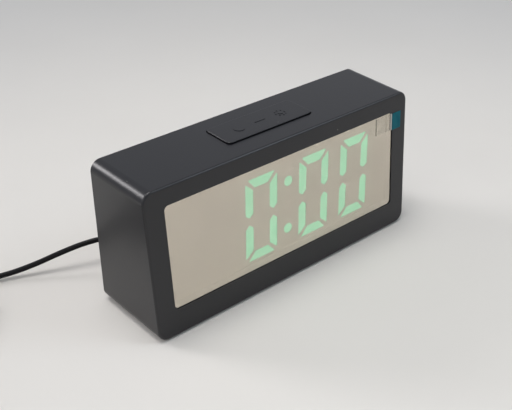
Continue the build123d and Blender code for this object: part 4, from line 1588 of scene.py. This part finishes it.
@dataclass(frozen=True)
class SoftLamp:
    """A rectangular lamp: its place and aim, its two sides, and its beam's width in degrees."""

    name: str
    place: Place
    aim: Place
    size: Spot
    power: float
    colour: Colour
    spread: float

    def hang(self) -> None:
        """Adds the lamp to the scene."""
        data = bpy.data.lights.new(self.name, "AREA")
        data.spread = math.radians(self.spread)
        data.shape = "RECTANGLE"
        data.size, data.size_y = self.size
        data.energy = self.power
        data.color = self.colour
        lamp = put_in_scene(self.name, data)
        lamp.location = self.place
        beam = Vector(self.aim) - Vector(self.place)
        lamp.rotation_euler = beam.to_track_quat("-Z", "Y").to_euler()
        log.info("hung %s", self.name)


@dataclass
class Studio:
    """A pale table, soft light and the camera at the photograph's angle."""

    camera_place: Place = (-0.21703, -0.24926, 0.23439)
    camera_aim: Place = (0.54888, 0.64742, -0.52875)
    camera_roll: float = math.radians(0.14)
    focal: float = 859.43
    image_width: float = 512.0
    sensor_width: float = 36.0
    clip_start: float = 0.01
    see_through_bounces: int = 24
    shift: Spot = (1.0 / 512.0, -0.4 / 512.0)
    backdrop: Colour = (0.52, 0.535, 0.565)
    table: MouldedFinish = MouldedFinish(
        "table_sheet",
        (0.74, 0.72, 0.695),
        (0.715, 0.695, 0.67),
        roughness=0.85,
        grain_scale=500.0,
        grain_depth=0.02 * MM,
        mottle_scale=9.0,
        specular=0.2,
    )
    table_half: float = 30.0
    table_cells: int = 8
    sky: Colour = (0.95, 0.97, 1.0)
    sky_front: float = 0.26
    sky_rear: float = 0.37
    lamps: tuple[SoftLamp, ...] = (
        SoftLamp(
            "lamp_behind",
            place=(-0.85, 1.35, 0.8),
            aim=(-0.04, 0.0, 0.04),
            size=(0.6, 0.6),
            power=0.68,
            colour=(1.0, 0.97, 0.98),
            spread=40.0,
        ),
        SoftLamp(
            "lamp_right",
            place=(1.0, -0.95, 1.2),
            aim=(0.0, 0.0, 0.03),
            size=(0.7, 0.7),
            power=2.3,
            colour=(0.8, 0.91, 1.0),
            spread=120.0,
        ),
        SoftLamp(
            "lamp_over",
            place=(-0.15, 0.05, 1.5),
            aim=(0.0, -0.12, 0.0),
            size=(0.9, 0.9),
            power=1.4,
            colour=(1.0, 0.99, 0.97),
            spread=45.0,
        ),
        SoftLamp(
            "lamp_left",
            place=(-1.2, -0.1, 0.6),
            aim=(-0.12, -0.02, 0.0),
            size=(1.2, 0.8),
            power=0.7,
            colour=(1.0, 0.99, 0.965),
            spread=90.0,
        ),
    )

    def build(self) -> None:
        """Sets the table, the light and the camera."""
        self._table()
        self._world()
        for lamp in self.lamps:
            lamp.hang()
        self._camera()
        bpy.context.scene.view_settings.view_transform = "Standard"
        bpy.context.scene.cycles.transparent_max_bounces = self.see_through_bounces

    def _table(self) -> None:
        """The plain pale table."""
        mesh = bmesh.new()
        cells = self.table_cells
        bmesh.ops.create_grid(mesh, x_segments=cells, y_segments=cells, size=self.table_half)
        data = bpy.data.meshes.new("table")
        mesh.to_mesh(data)
        mesh.free()
        data.materials.append(TableFinish(self.table, self.backdrop).make())
        table = put_in_scene("table", data)

    def _world(self) -> None:
        """Soft light, a little stronger from the rear, and a plain backdrop where it is seen."""
        world = bpy.data.worlds.new("studio")
        world.use_nodes = True
        sheet = ShaderSheet(world.node_tree)
        back = world.node_tree.nodes["Background"]
        back.inputs["Color"].default_value = (*self.sky, 1.0)
        way = sheet.add("ShaderNodeTexCoord").outputs["Generated"]
        rearward = sheet.add("ShaderNodeSeparateXYZ", Vector=way).outputs["Y"]
        level = sheet.add("ShaderNodeMapRange", Value=rearward)
        level.inputs["From Min"].default_value = -1.0
        level.inputs["To Min"].default_value = self.sky_front
        level.inputs["To Max"].default_value = self.sky_rear
        sheet.feed(back.inputs["Strength"], level.outputs["Result"])
        shown = sheet.add("ShaderNodeBackground", Color=self.backdrop)
        surface = world.node_tree.nodes["World Output"].inputs["Surface"]
        mixed = join_shaders(sheet, seen_rays(sheet), back.outputs[0], shown.outputs[0])
        sheet.feed(surface, mixed)
        bpy.context.scene.world = world

    def _camera(self) -> None:
        """The camera where the photograph was taken."""
        data = bpy.data.cameras.new("camera")
        data.sensor_fit = "HORIZONTAL"
        data.sensor_width = self.sensor_width
        data.lens = self.focal * self.sensor_width / self.image_width
        data.shift_x, data.shift_y = self.shift
        data.clip_start = self.clip_start
        camera = put_in_scene("camera", data)
        look = Vector(self.camera_aim).to_track_quat("-Z", "Y").to_matrix()
        turn = look @ Matrix.Rotation(self.camera_roll, 3, "Z")
        camera.matrix_world = Matrix.Translation(self.camera_place) @ turn.to_4x4()
        bpy.context.scene.camera = camera


@dataclass
class DeskClock:
    """The whole clock and its studio."""

    face: FacePlane = field(default_factory=FacePlane)

    def build(self) -> None:
        """Builds every sub-assembly in order."""
        Studio().build()
        PowerLead().build()
        Housing().build()
        MirrorWindow(self.face).build()
        Display().build()
        RearPanel().build()
        Wiring().build()


def main() -> None:
    """Builds the clock."""
    logging.basicConfig(level=logging.INFO, format="%(name)s: %(message)s")
    DeskClock().build()


if __name__ == "__main__":
    main()
